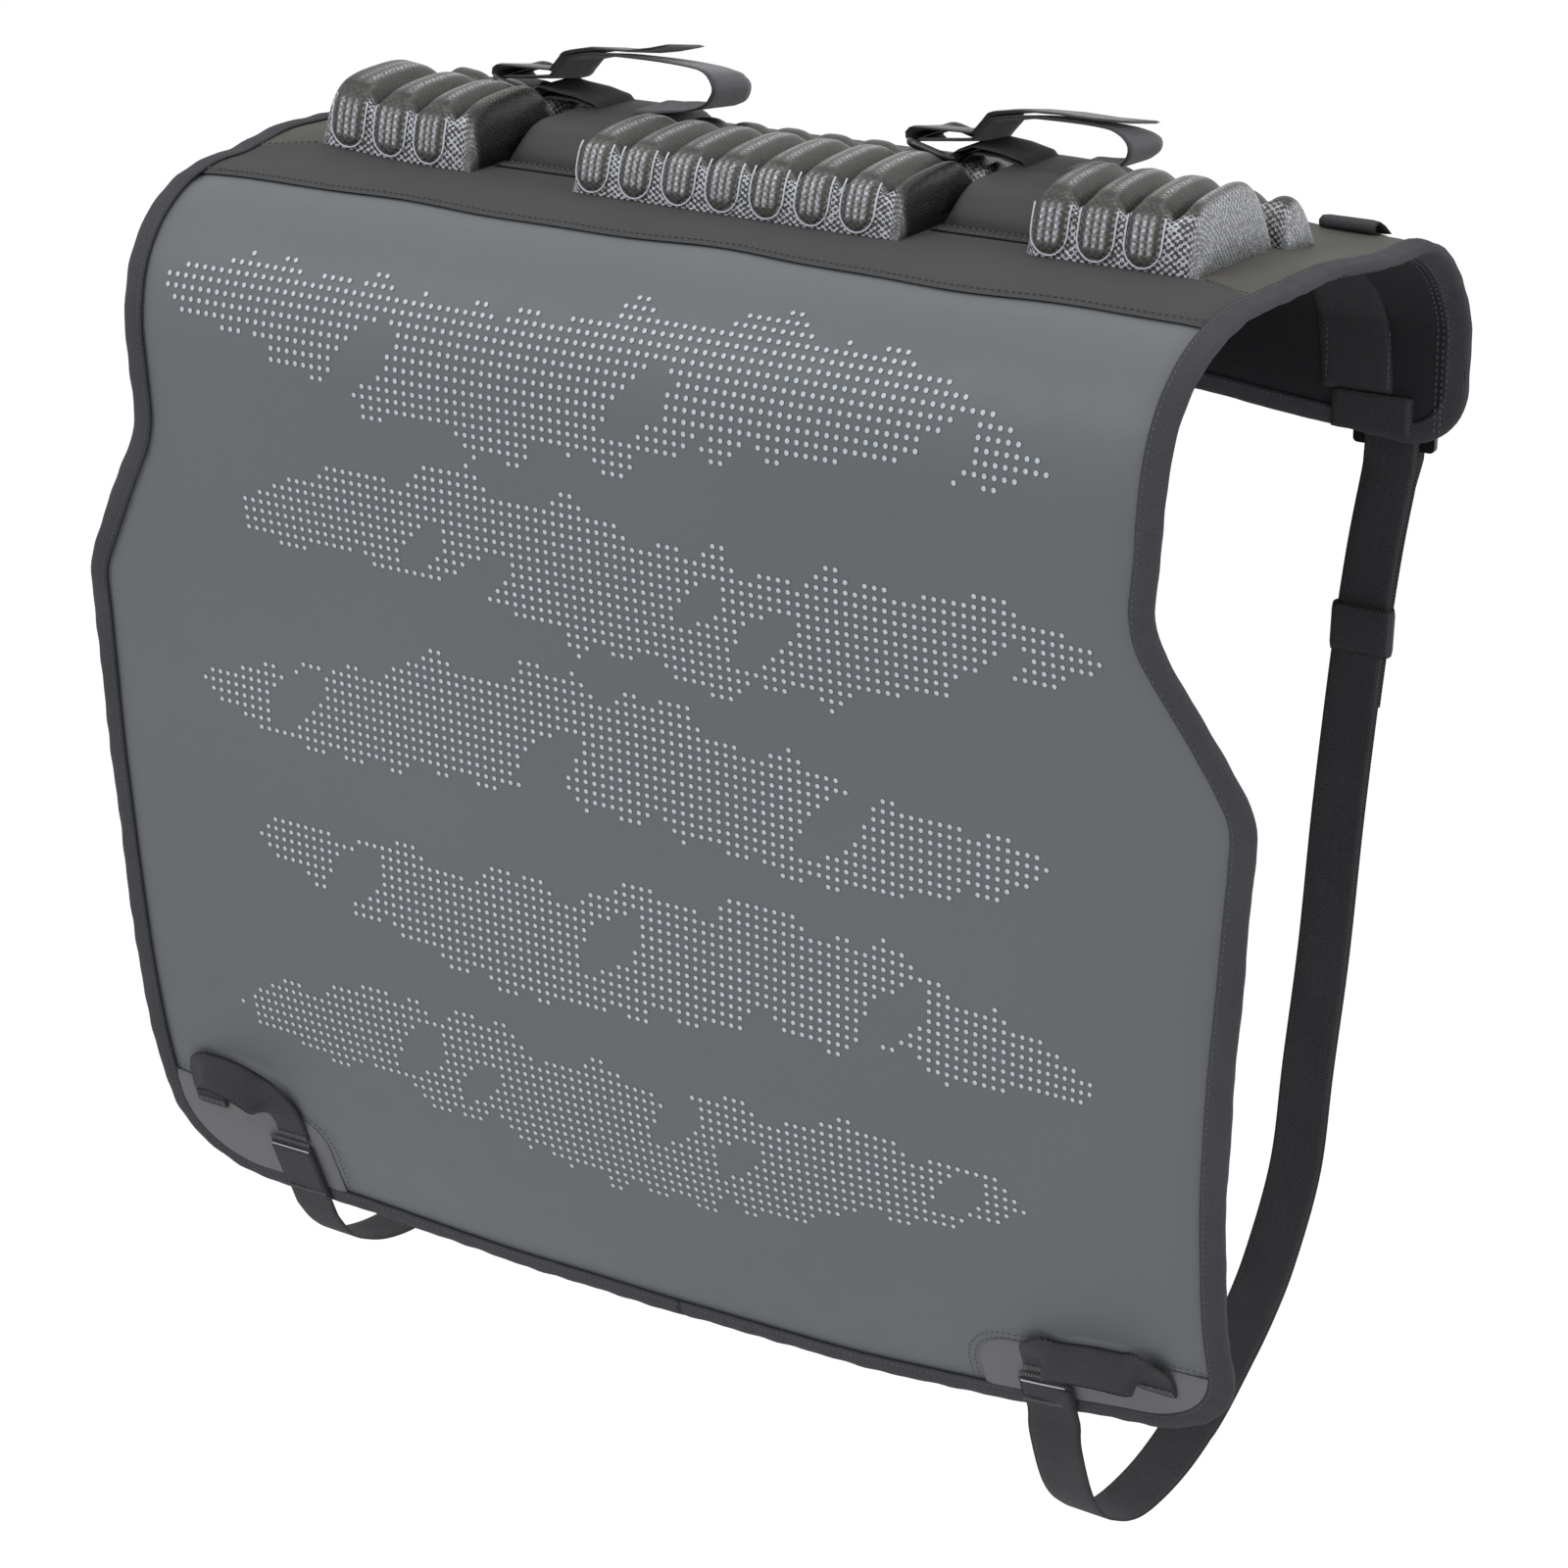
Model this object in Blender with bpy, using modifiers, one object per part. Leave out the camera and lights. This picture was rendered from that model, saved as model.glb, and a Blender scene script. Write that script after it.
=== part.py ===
"""Tailgate bike pad: a padded sheet hung over a truck tailgate, with ribbed rests and straps for two bikes."""

import math

import bmesh
import bpy
from mathutils import Vector

# The pad as a flat sheet, in metres
PANEL_WIDTH = 0.700
NECK_WIDTH = 0.602
SHOULDER_LOW = 0.378
SHOULDER_HIGH = 0.462
SHOULDER_RADIUS = 0.045
FRONT_CORNER_RADIUS = 0.058
REAR_CORNER_RADIUS = 0.034
FRONT_EDGE_SAG = 0.008
REAR_EDGE_RISE = 0.011

# The hung shape, seen from the side
FRONT_DROP = 0.583
FRONT_TUCK = 0.044
TUCK_HEIGHT = 0.115
TUCK_RADIUS = 0.450
FRONT_LEAN = 0.009
SADDLE_DEPTH = 0.342
REAR_DROP = 0.131
FRONT_BEND_RADIUS = 0.080
REAR_BEND_RADIUS = 0.060
BEND_STEP = math.radians(9.0)

# Layers and edge tape
SKIN = 0.0012
FOAM = 0.0050
LINING = 0.0012
GAP = 0.0003
TAPE = 0.0010
TAPE_WIDTH = 0.012
SEAT_MARGIN = 0.003
LINING_PRESS = 0.0002

# Seams of the outer face, measured from the start of the flat top
SEAM_BEFORE_TOP = 0.017
STRIP_PAST_TOP = 0.036

# Ribbed rests on the saddle
RIB_PITCH = 0.0246
MIDDLE_RIBS = 8
SIDE_RIBS = 4
MIDDLE_SHIFT = 0.006
SIDE_REST_X = 0.211
MIDDLE_REST_START = 0.024
SIDE_REST_START = 0.032
REST_DEPTH = 0.081
REST_HEIGHT = 0.034
REAR_REST_GAP = 0.009
REAR_REST_DEPTH = 0.030
REAR_REST_HEIGHT = 0.023
GROOVE_DEPTH = 0.22
REST_DRAFT = 0.0015

# Cradles in the two bike slots
CRADLE_WIDTH = 0.053
CRADLE_START = 0.062
CRADLE_DEPTH = 0.108
CRADLE_HEIGHT = 0.022

# Bike straps, rings and ring tabs
BIKE_STRAP_WIDTH = 0.038
BIKE_STRAP_THICKNESS = 0.0016
BIKE_STRAP_START = 0.130
BIKE_STRAP_SHIFT = 0.009
BIKE_STRAP_ROOT = 0.018
BIKE_STRAP_REACH = {"left": 0.068, "right": 0.0515}
BIKE_STRAP_RISE = {"left": 0.0255, "right": 0.0208}
BIKE_STRAP_TIP = {"left": 0.039, "right": 0.050}
BIKE_STRAP_TIP_RISE = {"left": 0.034, "right": 0.024}
RING_WIRE = 0.0022
RING_SPACING = 0.025
RING_FAR = 0.070
RING_RISE = {"left": 0.0150, "right": 0.0115}
RING_FALL = 0.0065
RING_MARGIN = 0.004
RING_TAB_REACH = 0.009
RING_TAB_WIDTH = 0.034
TAB_THICKNESS = 0.0012

# Hold-down straps, finger loops and corner patches
STRAP_WIDTH = 0.031
STRAP_THICKNESS = 0.0016
STRAP_FRONT_X = {"left": -0.262, "right": 0.229}
STRAP_REAR_X = 0.258
STRAP_END = 0.027
STRAP_LOOP_DROP = {"left": 0.056, "right": 0.094}
FINGER_LOOP_RADIUS = 0.031
FINGER_LOOP_WIDTH = 0.022
FINGER_LOOP_TILT = math.radians(40.0)
FINGER_LOOP_FLAT = 0.009
FINGER_LOOP_LIFT = 0.004
PATCH = 0.0008
PATCH_INNER = 0.038
PATCH_LOW_TOP = 0.047
PATCH_HIGH_TOP = 0.062
PATCH_RADIUS = 0.022

# Buckles, keepers and reinforcements on the rear flap
BUCKLE_THICKNESS = 0.004
BUCKLE_BAR = 0.005
BUCKLE_SIDE = 0.007
BUCKLE_SLOT = 0.009
BUCKLE_BELOW_EDGE = 0.008
STRAP_TAIL_DROP = 0.133
KEEPER_DROP = 0.090
KEEPER_LENGTH = 0.026
KEEPER_WALL = 0.0014
ANCHOR_LENGTH = 0.128
BAND_WIDTH = 0.040
BAND_LENGTH = 0.085
BAND_X = 0.242
REAR_PATCH_WIDTH = 0.046
REAR_PATCH_LENGTH = 0.022
REAR_PATCH_X = 0.251

# Printed fields on the front
PRINT = 0.0005
PRINT_FIELDS = 5
PRINT_LOWEST = 0.130
PRINT_PITCH = 0.100
PRINT_LENGTH = 0.520
PRINT_HALF_WIDTH = 0.038
PRINT_WAVE = 0.010
PRINT_SHIFT = 0.016

SIDES = ("left", "right")
SIGN = {"left": -1.0, "right": 1.0}


def clear_scene():
    for obj in list(bpy.data.objects):
        bpy.data.objects.remove(obj, do_unlink=True)


def make_collection(name):
    collection = bpy.data.collections.new(name)
    bpy.context.scene.collection.children.link(collection)
    return collection


def make_material(name, color, roughness, metallic=0.0):
    material = bpy.data.materials.new(name)
    material.use_nodes = True
    shader = material.node_tree.nodes["Principled BSDF"]
    shader.inputs["Base Color"].default_value = (*color, 1.0)
    shader.inputs["Roughness"].default_value = roughness
    shader.inputs["Metallic"].default_value = metallic
    return material


def fillet_path(corners, step=BEND_STEP):
    """Straight runs joined by arcs. Each corner is (a, b, radius); the ends take no radius."""
    points = [Vector(corners[0][:2])]
    for before, corner, after in zip(corners, corners[1:], corners[2:]):
        here = Vector(corner[:2])
        into = (here - Vector(before[:2])).normalized()
        out = (Vector(after[:2]) - here).normalized()
        turn = math.atan2(into.x * out.y - into.y * out.x, into.dot(out))
        radius = corner[2]
        start = here - into * radius * math.tan(abs(turn) / 2)
        inward = Vector((-into.y, into.x)) * math.copysign(1.0, turn)
        center = start + inward * radius
        count = max(2, math.ceil(abs(turn) / step))
        for index in range(count + 1):
            angle = turn * index / count
            spoke = start - center
            points.append(center + Vector((
                spoke.x * math.cos(angle) - spoke.y * math.sin(angle),
                spoke.x * math.sin(angle) + spoke.y * math.cos(angle),
            )))
    points.append(Vector(corners[-1][:2]))
    return points


def smooth_path(points, steps):
    """A smooth curve through all the points (Catmull-Rom)."""
    padded = [points[0] * 2 - points[1], *points, points[-1] * 2 - points[-2]]
    path = []
    for p0, p1, p2, p3 in zip(padded, padded[1:], padded[2:], padded[3:]):
        for index in range(steps):
            t = index / steps
            path.append(0.5 * (2 * p1 + (p2 - p0) * t + (2 * p0 - 5 * p1 + 4 * p2 - p3) * t ** 2
                               + (3 * p1 - p0 - 3 * p2 + p3) * t ** 3))
    path.append(points[-1])
    return path


class Drape:
    """The hung line of the pad: turns (across, along, height) of the flat sheet into x, y, z."""

    def __init__(self, line, origin):
        self.line = line
        self.origin = origin
        self.stations = [0.0]
        for start, end in zip(line, line[1:]):
            self.stations.append(self.stations[-1] + (end - start).length)
        self.length = self.stations[-1]
        self.normals = []
        for index in range(len(line)):
            before = line[max(index - 1, 0)]
            here = line[index]
            after = line[min(index + 1, len(line) - 1)]
            sides = [(end - start).normalized() for start, end in ((before, here), (here, after))
                     if (end - start).length > 0]
            tangent = sum(sides, Vector((0, 0))).normalized()
            miter = tangent.dot(sides[0])
            self.normals.append(Vector((-tangent.y, tangent.x)) / miter)

    def place(self, across, along, height):
        index = 0
        while index < len(self.stations) - 2 and along > self.stations[index + 1]:
            index += 1
        share = (along - self.stations[index]) / (self.stations[index + 1] - self.stations[index])
        spot = self.line[index].lerp(self.line[index + 1], share)
        spot = spot + self.normals[index].lerp(self.normals[index + 1], min(max(share, 0.0), 1.0)) * height
        return Vector((across, spot.x - self.origin.x, spot.y - self.origin.y))


def hung_line():
    """Front edge, tucked lower front, front, saddle top and rear flap as (depth, height)."""
    return fillet_path([
        (FRONT_TUCK, -FRONT_DROP, 0.0),
        (0.0, TUCK_HEIGHT - FRONT_DROP, TUCK_RADIUS),
        (-FRONT_LEAN, 0.0, FRONT_BEND_RADIUS),
        (SADDLE_DEPTH - FRONT_LEAN, 0.0, REAR_BEND_RADIUS),
        (SADDLE_DEPTH - FRONT_LEAN, -REAR_DROP, 0.0),
    ])


def make_drape():
    """The row origin is on the underside of the flat top, half way between the two bends."""
    line = hung_line()
    flat = [point.x for point in line if abs(point.y) < 1e-6]
    under = SKIN + FOAM + LINING + 2 * GAP
    drape = Drape(line, Vector(((flat[0] + flat[-1]) / 2, -under)))
    drape.top_start = drape.stations[line.index(next(p for p in line if abs(p.y) < 1e-6))]
    drape.under = under
    return drape


def edge_outline(drape):
    """The whole sheet's outline as (across, along), counterclockwise from the middle of the front edge."""
    half = [
        (0.0, -FRONT_EDGE_SAG, 0.0),
        (PANEL_WIDTH / 4, -FRONT_EDGE_SAG * 0.75, PANEL_WIDTH),
        (PANEL_WIDTH / 2, 0.0, FRONT_CORNER_RADIUS),
        (PANEL_WIDTH / 2, SHOULDER_LOW, SHOULDER_RADIUS),
        (NECK_WIDTH / 2, SHOULDER_HIGH, SHOULDER_RADIUS),
        (NECK_WIDTH / 2, drape.length, REAR_CORNER_RADIUS),
        (NECK_WIDTH / 4, drape.length - REAR_EDGE_RISE * 0.75, PANEL_WIDTH),
        (0.0, drape.length - REAR_EDGE_RISE, 0.0),
    ]
    right = fillet_path(half, math.radians(15.0))
    left = [Vector((-point.x, point.y)) for point in reversed(right[1:-1])]
    return right + left


def inset(outline, distance):
    """The outline moved inwards by the distance."""
    moved = []
    for index, here in enumerate(outline):
        before = (here - outline[index - 1]).normalized()
        after = (outline[(index + 1) % len(outline)] - here).normalized()
        middle = (before + after).normalized()
        moved.append(here + Vector((-middle.y, middle.x)) * distance / middle.dot(before))
    return moved


def evaluated_mesh(obj):
    """The object's mesh with its modifiers, after which the object is removed."""
    graph = bpy.context.evaluated_depsgraph_get()
    mesh = bpy.data.meshes.new_from_object(obj.evaluated_get(graph))
    bpy.data.objects.remove(obj, do_unlink=True)
    return mesh


def flat_plate(name, outline, low, high):
    """A flat outline given its thickness, as a welded mesh object."""
    curve = bpy.data.curves.new(name, "CURVE")
    curve.dimensions = "2D"
    curve.fill_mode = "BOTH"
    curve.extrude = (high - low) / 2
    curve.resolution_u = 1
    spline = curve.splines.new("POLY")
    spline.points.add(len(outline) - 1)
    for point, spot in zip(spline.points, outline):
        point.co = (spot.x, spot.y, 0.0, 1.0)
    spline.use_cyclic_u = True
    source = bpy.data.objects.new(name, curve)
    bpy.context.scene.collection.objects.link(source)
    mesh = evaluated_mesh(source)
    shape = bmesh.new()
    shape.from_mesh(mesh)
    bmesh.ops.remove_doubles(shape, verts=shape.verts, dist=0.000001)
    bmesh.ops.translate(shape, verts=shape.verts, vec=(0.0, 0.0, (low + high) / 2))
    bmesh.ops.dissolve_limit(shape, angle_limit=0.001, verts=shape.verts, edges=shape.edges)
    shape.to_mesh(mesh)
    shape.free()
    plate = bpy.data.objects.new(name, mesh)
    bpy.context.scene.collection.objects.link(plate)
    return plate


def combine(base, tool, operation):
    """The two plates joined, cut or intersected, as one mesh object."""
    name = base.name
    boolean = base.modifiers.new("Combine", "BOOLEAN")
    boolean.operation = operation
    boolean.object = tool
    mesh = evaluated_mesh(base)
    bpy.data.objects.remove(tool, do_unlink=True)
    result = bpy.data.objects.new(name, mesh)
    bpy.context.scene.collection.objects.link(result)
    return result


def drape_plate(plate, drape, seat=None):
    """Cut a flat plate along the bend lines and bend it; gives the mesh.

    With a seat, the lower face is flat to that distance from the middle, and the tape presses it up outside it.
    """
    mesh = plate.data
    name = plate.name
    bpy.data.objects.remove(plate, do_unlink=True)
    shape = bmesh.new()
    shape.from_mesh(mesh)
    bmesh.ops.dissolve_limit(shape, angle_limit=0.001, verts=shape.verts, edges=shape.edges)
    cuts = [((0.0, station, 0.0), (0.0, 1.0, 0.0)) for station in drape.stations[1:-1]]
    if seat:
        cuts += [((across, 0.0, 0.0), (1.0, 0.0, 0.0)) for across in (-seat, seat)]
    for place, normal in cuts:
        geometry = [*shape.verts, *shape.edges, *shape.faces]
        bmesh.ops.bisect_plane(shape, geom=geometry, dist=0.000001, plane_co=place, plane_no=normal)
    bmesh.ops.remove_doubles(shape, verts=shape.verts, dist=0.00001)
    for vertex in shape.verts:
        across, along, height = vertex.co
        if seat and abs(across) > seat + GAP and height < GAP - drape.under:
            height += LINING_PRESS
        vertex.co = drape.place(across, along, height)
    face_outward(shape)
    shape.to_mesh(mesh)
    shape.free()
    mesh.name = name
    return mesh


def face_outward(shape):
    bmesh.ops.recalc_face_normals(shape, faces=shape.faces)
    if shape.calc_volume(signed=True) < 0.0:
        bmesh.ops.reverse_faces(shape, faces=shape.faces)


def strip_mesh(name, centers, widths):
    """An open strip: its centre line and, at each point, half its width as a vector."""
    shape = bmesh.new()
    rows = []
    for center, half in zip(centers, widths):
        rows.append((shape.verts.new(center - half), shape.verts.new(center + half)))
    for before, after in zip(rows, rows[1:]):
        shape.faces.new((before[0], before[1], after[1], after[0]))
    mesh = bpy.data.meshes.new(name)
    shape.to_mesh(mesh)
    shape.free()
    return mesh


def add_object(name, mesh, material, collection, parent):
    obj = bpy.data.objects.new(name, mesh)
    obj.data.materials.clear()
    obj.data.materials.append(material)
    obj.parent = parent
    collection.objects.link(obj)
    return obj


def add_ribbon(name, centers, widths, thickness, looks):
    """A webbing strip with its thickness."""
    ribbon = add_object(name, strip_mesh(name, centers, widths), *looks)
    solidify = ribbon.modifiers.new("Thickness", "SOLIDIFY")
    solidify.thickness = thickness
    solidify.offset = 0.0
    solidify.use_even_offset = True
    return ribbon


def add_layers(drape, outline, materials, collection, root):
    """Outer skins, foam, lining and the tape around the edge."""
    inner = inset(outline, TAPE + GAP)
    seam = drape.top_start - SEAM_BEFORE_TOP
    strip_end = drape.top_start + STRIP_PAST_TOP
    past = PANEL_WIDTH
    skins = (
        ("front_skin", "tarpaulin", -past, seam),
        ("top_strip", "matte_cloth", seam + GAP, strip_end),
        ("top_panel", "grid_cloth", strip_end + GAP, drape.length + past),
    )
    for name, slot, start, end in skins:
        window = [Vector(p) for p in ((-past, start), (past, start), (past, end), (-past, end))]
        plate = flat_plate(name, inner, -SKIN, 0.0)
        plate = combine(plate, flat_plate("window", window, -2 * SKIN, SKIN), "INTERSECT")
        add_object(name, drape_plate(plate, drape), materials[slot], collection, root)
    foam_top = -SKIN - GAP
    foam = flat_plate("foam_core", inner, foam_top - FOAM, foam_top)
    add_object("foam_core", drape_plate(foam, drape), materials["foam"], collection, root)
    lining = flat_plate("lining", inner, -drape.under, -drape.under + LINING)
    seat = NECK_WIDTH / 2 - TAPE_WIDTH - SEAT_MARGIN
    lining_mesh = drape_plate(lining, drape, seat)
    add_object("lining", lining_mesh, materials["lining"], collection, root)

    low = -drape.under - GAP
    tape = flat_plate("binding", outline, low - TAPE, GAP + TAPE)
    hole = flat_plate("hole", inset(outline, TAPE_WIDTH), low - 2 * TAPE, GAP + 2 * TAPE)
    tape = combine(tape, hole, "DIFFERENCE")
    slot = flat_plate("slot", inset(outline, TAPE), low, GAP)
    tape = combine(tape, slot, "DIFFERENCE")
    add_object("binding", drape_plate(tape, drape), materials["tape"], collection, root)


def pillow_mesh(name, width, depth, height, ribs, rows):
    """A foam rest on a flat base: rows give (share of depth, share of height) from front to rear."""
    across = [(0.0, 0.0), (REST_DRAFT, 0.55)]
    pitch = width / max(ribs, 1)
    for rib in range(max(ribs, 1)):
        low = 1.0 - GROOVE_DEPTH if ribs else 1.0
        if rib:
            across.append((rib * pitch, low))
        for share, rise in ((0.18, 0.72), (0.38, 0.97), (0.62, 0.97), (0.82, 0.72)):
            across.append(((rib + share) * pitch, low + (1.0 - low) * rise))
    across += [(width - REST_DRAFT, 0.55), (width, 0.0)]
    shape = bmesh.new()
    bmesh.ops.create_grid(shape, x_segments=len(across) - 1, y_segments=len(rows) - 1, size=0.5)
    shape.verts.ensure_lookup_table()
    for vertex in shape.verts:
        column = round((vertex.co.x + 0.5) * (len(across) - 1))
        row = round((vertex.co.y + 0.5) * (len(rows) - 1))
        x, rise = across[column]
        y, lift = rows[row]
        vertex.co = (x - width / 2, y * depth, height * rise * lift)
    edges = [edge for edge in shape.edges if edge.is_boundary]
    bmesh.ops.contextual_create(shape, geom=edges)
    face_outward(shape)
    mesh = bpy.data.meshes.new(name)
    shape.to_mesh(mesh)
    shape.free()
    mesh.shade_smooth()
    mesh.set_sharp_from_angle(angle=math.radians(50))
    return mesh


def slot_edges():
    """The two bike slots as (left, right) edges across the pad."""
    middle = MIDDLE_RIBS * RIB_PITCH / 2
    side = SIDE_RIBS * RIB_PITCH / 2
    return {
        "left": (-SIDE_REST_X + side, MIDDLE_SHIFT - middle),
        "right": (MIDDLE_SHIFT + middle, SIDE_REST_X - side),
    }


def top_place(drape, across, back, height=0.0):
    """A spot on the flat top: back is the distance from its front end."""
    return drape.place(across, drape.top_start + back, GAP + height)


def add_rests(drape, materials, collection, root):
    front_rows = ((0.0, 0.0), (0.012, 0.40), (0.031, 0.62), (0.062, 0.76), (0.11, 0.85), (0.30, 0.96),
                  (0.62, 1.0), (0.74, 0.965), (0.83, 0.88), (0.90, 0.74), (0.95, 0.55), (1.0, 0.0))
    rear_rows = ((0.0, 0.0), (0.05, 0.60), (0.22, 0.93), (0.50, 1.0), (0.78, 0.90), (0.95, 0.55), (1.0, 0.0))
    places = (
        ("left", -SIDE_REST_X, SIDE_RIBS, SIDE_REST_START),
        ("middle", MIDDLE_SHIFT, MIDDLE_RIBS, MIDDLE_REST_START),
        ("right", SIDE_REST_X, SIDE_RIBS, SIDE_REST_START),
    )
    for label, across, ribs, start in places:
        width = ribs * RIB_PITCH
        mesh = pillow_mesh(f"front_rest_{label}", width, REST_DEPTH, REST_HEIGHT, ribs, front_rows)
        rest = add_object(f"front_rest_{label}", mesh, materials["spacer_mesh"], collection, root)
        rest.location = top_place(drape, across, start)
        mesh = pillow_mesh(f"rear_rest_{label}", width, REAR_REST_DEPTH, REAR_REST_HEIGHT, ribs, rear_rows)
        rest = add_object(f"rear_rest_{label}", mesh, materials["spacer_mesh"], collection, root)
        rest.location = top_place(drape, across, start + REST_DEPTH + REAR_REST_GAP)


def add_cradles(drape, materials, collection, root):
    rows = ((0.0, 0.0), (0.02, 0.35), (0.07, 0.75), (0.16, 0.93), (0.30, 0.99), (0.60, 1.0),
            (0.80, 0.98), (0.93, 0.74), (1.0, 0.0))
    for side, (left, right) in slot_edges().items():
        mesh = pillow_mesh(f"cradle_{side}", CRADLE_WIDTH, CRADLE_DEPTH, CRADLE_HEIGHT, 0, rows)
        cradle = add_object(f"cradle_{side}", mesh, materials["smooth_cloth"], collection, root)
        cradle.location = top_place(drape, (left + right) / 2, CRADLE_START)


def wrap_points(center, radius, start, end, count):
    """Points round a bar, between two angles in degrees."""
    angles = [math.radians(start + (end - start) * index / count) for index in range(count + 1)]
    return [center + Vector((math.cos(angle), math.sin(angle))) * radius for angle in angles]


def bike_strap_line(side, far_bar, near_bar, pad_top):
    """From the sewn root right of the slot, over the slot, round the ring and back on itself."""
    reach = BIKE_STRAP_REACH[side]
    rise = BIKE_STRAP_RISE[side]
    foot = CRADLE_WIDTH / 2 + BIKE_STRAP_SHIFT
    past = reach - foot
    lap = pad_top + BIKE_STRAP_THICKNESS / 2 + GAP
    arch = [
        Vector((x, lap + z)) for x, z in (
            (BIKE_STRAP_ROOT, 0.0), ((BIKE_STRAP_ROOT + foot) / 2, 0.0003), (foot, 0.0014),
            (foot + 0.52 * past, 0.0030), (foot + 0.87 * past, 0.0065), (reach, 0.0012 + 0.48 * rise),
            (reach - 0.0015, 0.74 * rise), (reach - 0.0080, 0.91 * rise), (0.60 * reach, 0.985 * rise),
            (0.20 * reach, rise), (-0.010, 0.97 * rise), (-0.026, 0.84 * rise),
        )
    ]
    turn = RING_WIRE + GAP + BIKE_STRAP_THICKNESS / 2
    under = [near_bar + Vector((0.009, turn + TAB_THICKNESS + 0.0028)),
             near_bar + Vector((0.0, turn + TAB_THICKNESS + 0.0014))]
    around = wrap_points(far_bar, turn, 280.0, 80.0, 8)
    layer = 2 * BIKE_STRAP_THICKNESS
    over = [point + Vector((0.0, layer)) for point in (under[0], arch[-1], arch[-2], arch[-3])]
    tip = Vector((BIKE_STRAP_TIP[side], lap + BIKE_STRAP_TIP_RISE[side]))
    rest_of_tip = [over[-1].lerp(tip, 0.5) - Vector((0.0, 0.0005)), tip]
    return smooth_path(arch, 3) + under + around + over + rest_of_tip


def ring_tab_line(near_bar, pad_top):
    """A short tab sewn to the cradle, round the ring's near bar and back."""
    rest = pad_top + GAP + TAB_THICKNESS / 2
    hop = rest + max(0.0, REAR_REST_HEIGHT - CRADLE_HEIGHT) + 2 * GAP
    second = 2 * TAB_THICKNESS
    ahead = near_bar.x + RING_TAB_REACH
    tab = [Vector((-0.005, rest)), Vector((-0.013, rest)), Vector((-0.021, hop)), Vector((ahead, hop))]
    tab += wrap_points(near_bar, RING_WIRE + GAP + TAB_THICKNESS / 2, 285.0, 75.0, 8)
    tab += [Vector((ahead, hop + second + 0.0014)), Vector((-0.021, hop + second)),
            Vector((-0.013, rest + second)), Vector((-0.005, rest + second))]
    return tab


def add_bike_straps(drape, materials, collection, root):
    """A hook-and-loop strap over each slot, doubled back through a ring that a short tab holds."""
    pad_top = CRADLE_HEIGHT + GAP
    ring_half = BIKE_STRAP_WIDTH / 2 + RING_MARGIN
    ring_line = fillet_path([
        (0.0, 0.0, 0.0),
        (0.0, ring_half, RING_MARGIN),
        (RING_SPACING, ring_half, RING_MARGIN),
        (RING_SPACING, -ring_half, RING_MARGIN),
        (0.0, -ring_half, RING_MARGIN),
        (0.0, 0.0, 0.0),
    ], math.radians(30.0))[:-1]
    for side, (left, right) in slot_edges().items():
        middle = (left + right) / 2 - BIKE_STRAP_SHIFT
        far_bar = Vector((-RING_FAR, pad_top + RING_RISE[side]))
        slope = Vector((RING_SPACING, -RING_FALL))
        near_bar = far_bar + slope
        strap = bike_strap_line(side, far_bar, near_bar, pad_top)
        tab = ring_tab_line(near_bar, pad_top)
        for name, path, width, thickness, slot in (
            (f"bike_strap_{side}", strap, BIKE_STRAP_WIDTH, BIKE_STRAP_THICKNESS, "hook_loop"),
            (f"ring_tab_{side}", tab, RING_TAB_WIDTH, TAB_THICKNESS, "webbing"),
        ):
            centers = [Vector((point.x, 0.0, point.y)) for point in path]
            halves = [Vector((0.0, width / 2, 0.0))] * len(centers)
            ribbon = add_ribbon(name, centers, halves, thickness, (materials[slot], collection, root))
            ribbon.location = top_place(drape, middle, BIKE_STRAP_START)
        curve = bpy.data.curves.new(f"ring_{side}", "CURVE")
        curve.dimensions = "3D"
        curve.bevel_depth = RING_WIRE
        curve.bevel_resolution = 2
        spline = curve.splines.new("POLY")
        spline.points.add(len(ring_line) - 1)
        for point, spot in zip(spline.points, ring_line):
            share = spot.x / RING_SPACING
            point.co = (far_bar.x + slope.x * share, spot.y, far_bar.y + slope.y * share, 1.0)
        spline.use_cyclic_u = True
        ring = add_object(f"ring_{side}", curve, materials["gloss_plastic"], collection, root)
        ring.location = top_place(drape, middle, BIKE_STRAP_START)


def add_corner_patches(drape, outline, materials, collection, root):
    for side in SIDES:
        sign = SIGN[side]
        inner = abs(STRAP_FRONT_X[side]) - PATCH_INNER
        window = fillet_path([
            (inner, -PANEL_WIDTH / 8, 0.0),
            (inner, PATCH_LOW_TOP, PATCH_RADIUS),
            (PANEL_WIDTH / 2, PATCH_HIGH_TOP, PATCH_RADIUS / 4),
            (PANEL_WIDTH, PATCH_HIGH_TOP, PATCH_RADIUS / 4),
            (PANEL_WIDTH, -PANEL_WIDTH / 8, 0.0),
        ], math.radians(20.0))
        window = [Vector((sign * point.x, point.y)) for point in window]
        inside = inset(outline, TAPE_WIDTH + GAP)
        plate = flat_plate(f"corner_patch_{side}", inside, GAP, GAP + PATCH)
        plate = combine(plate, flat_plate("window", window, -PATCH, 3 * PATCH), "INTERSECT")
        mesh = drape_plate(plate, drape)
        add_object(f"corner_patch_{side}", mesh, materials["tarpaulin"], collection, root)


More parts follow.
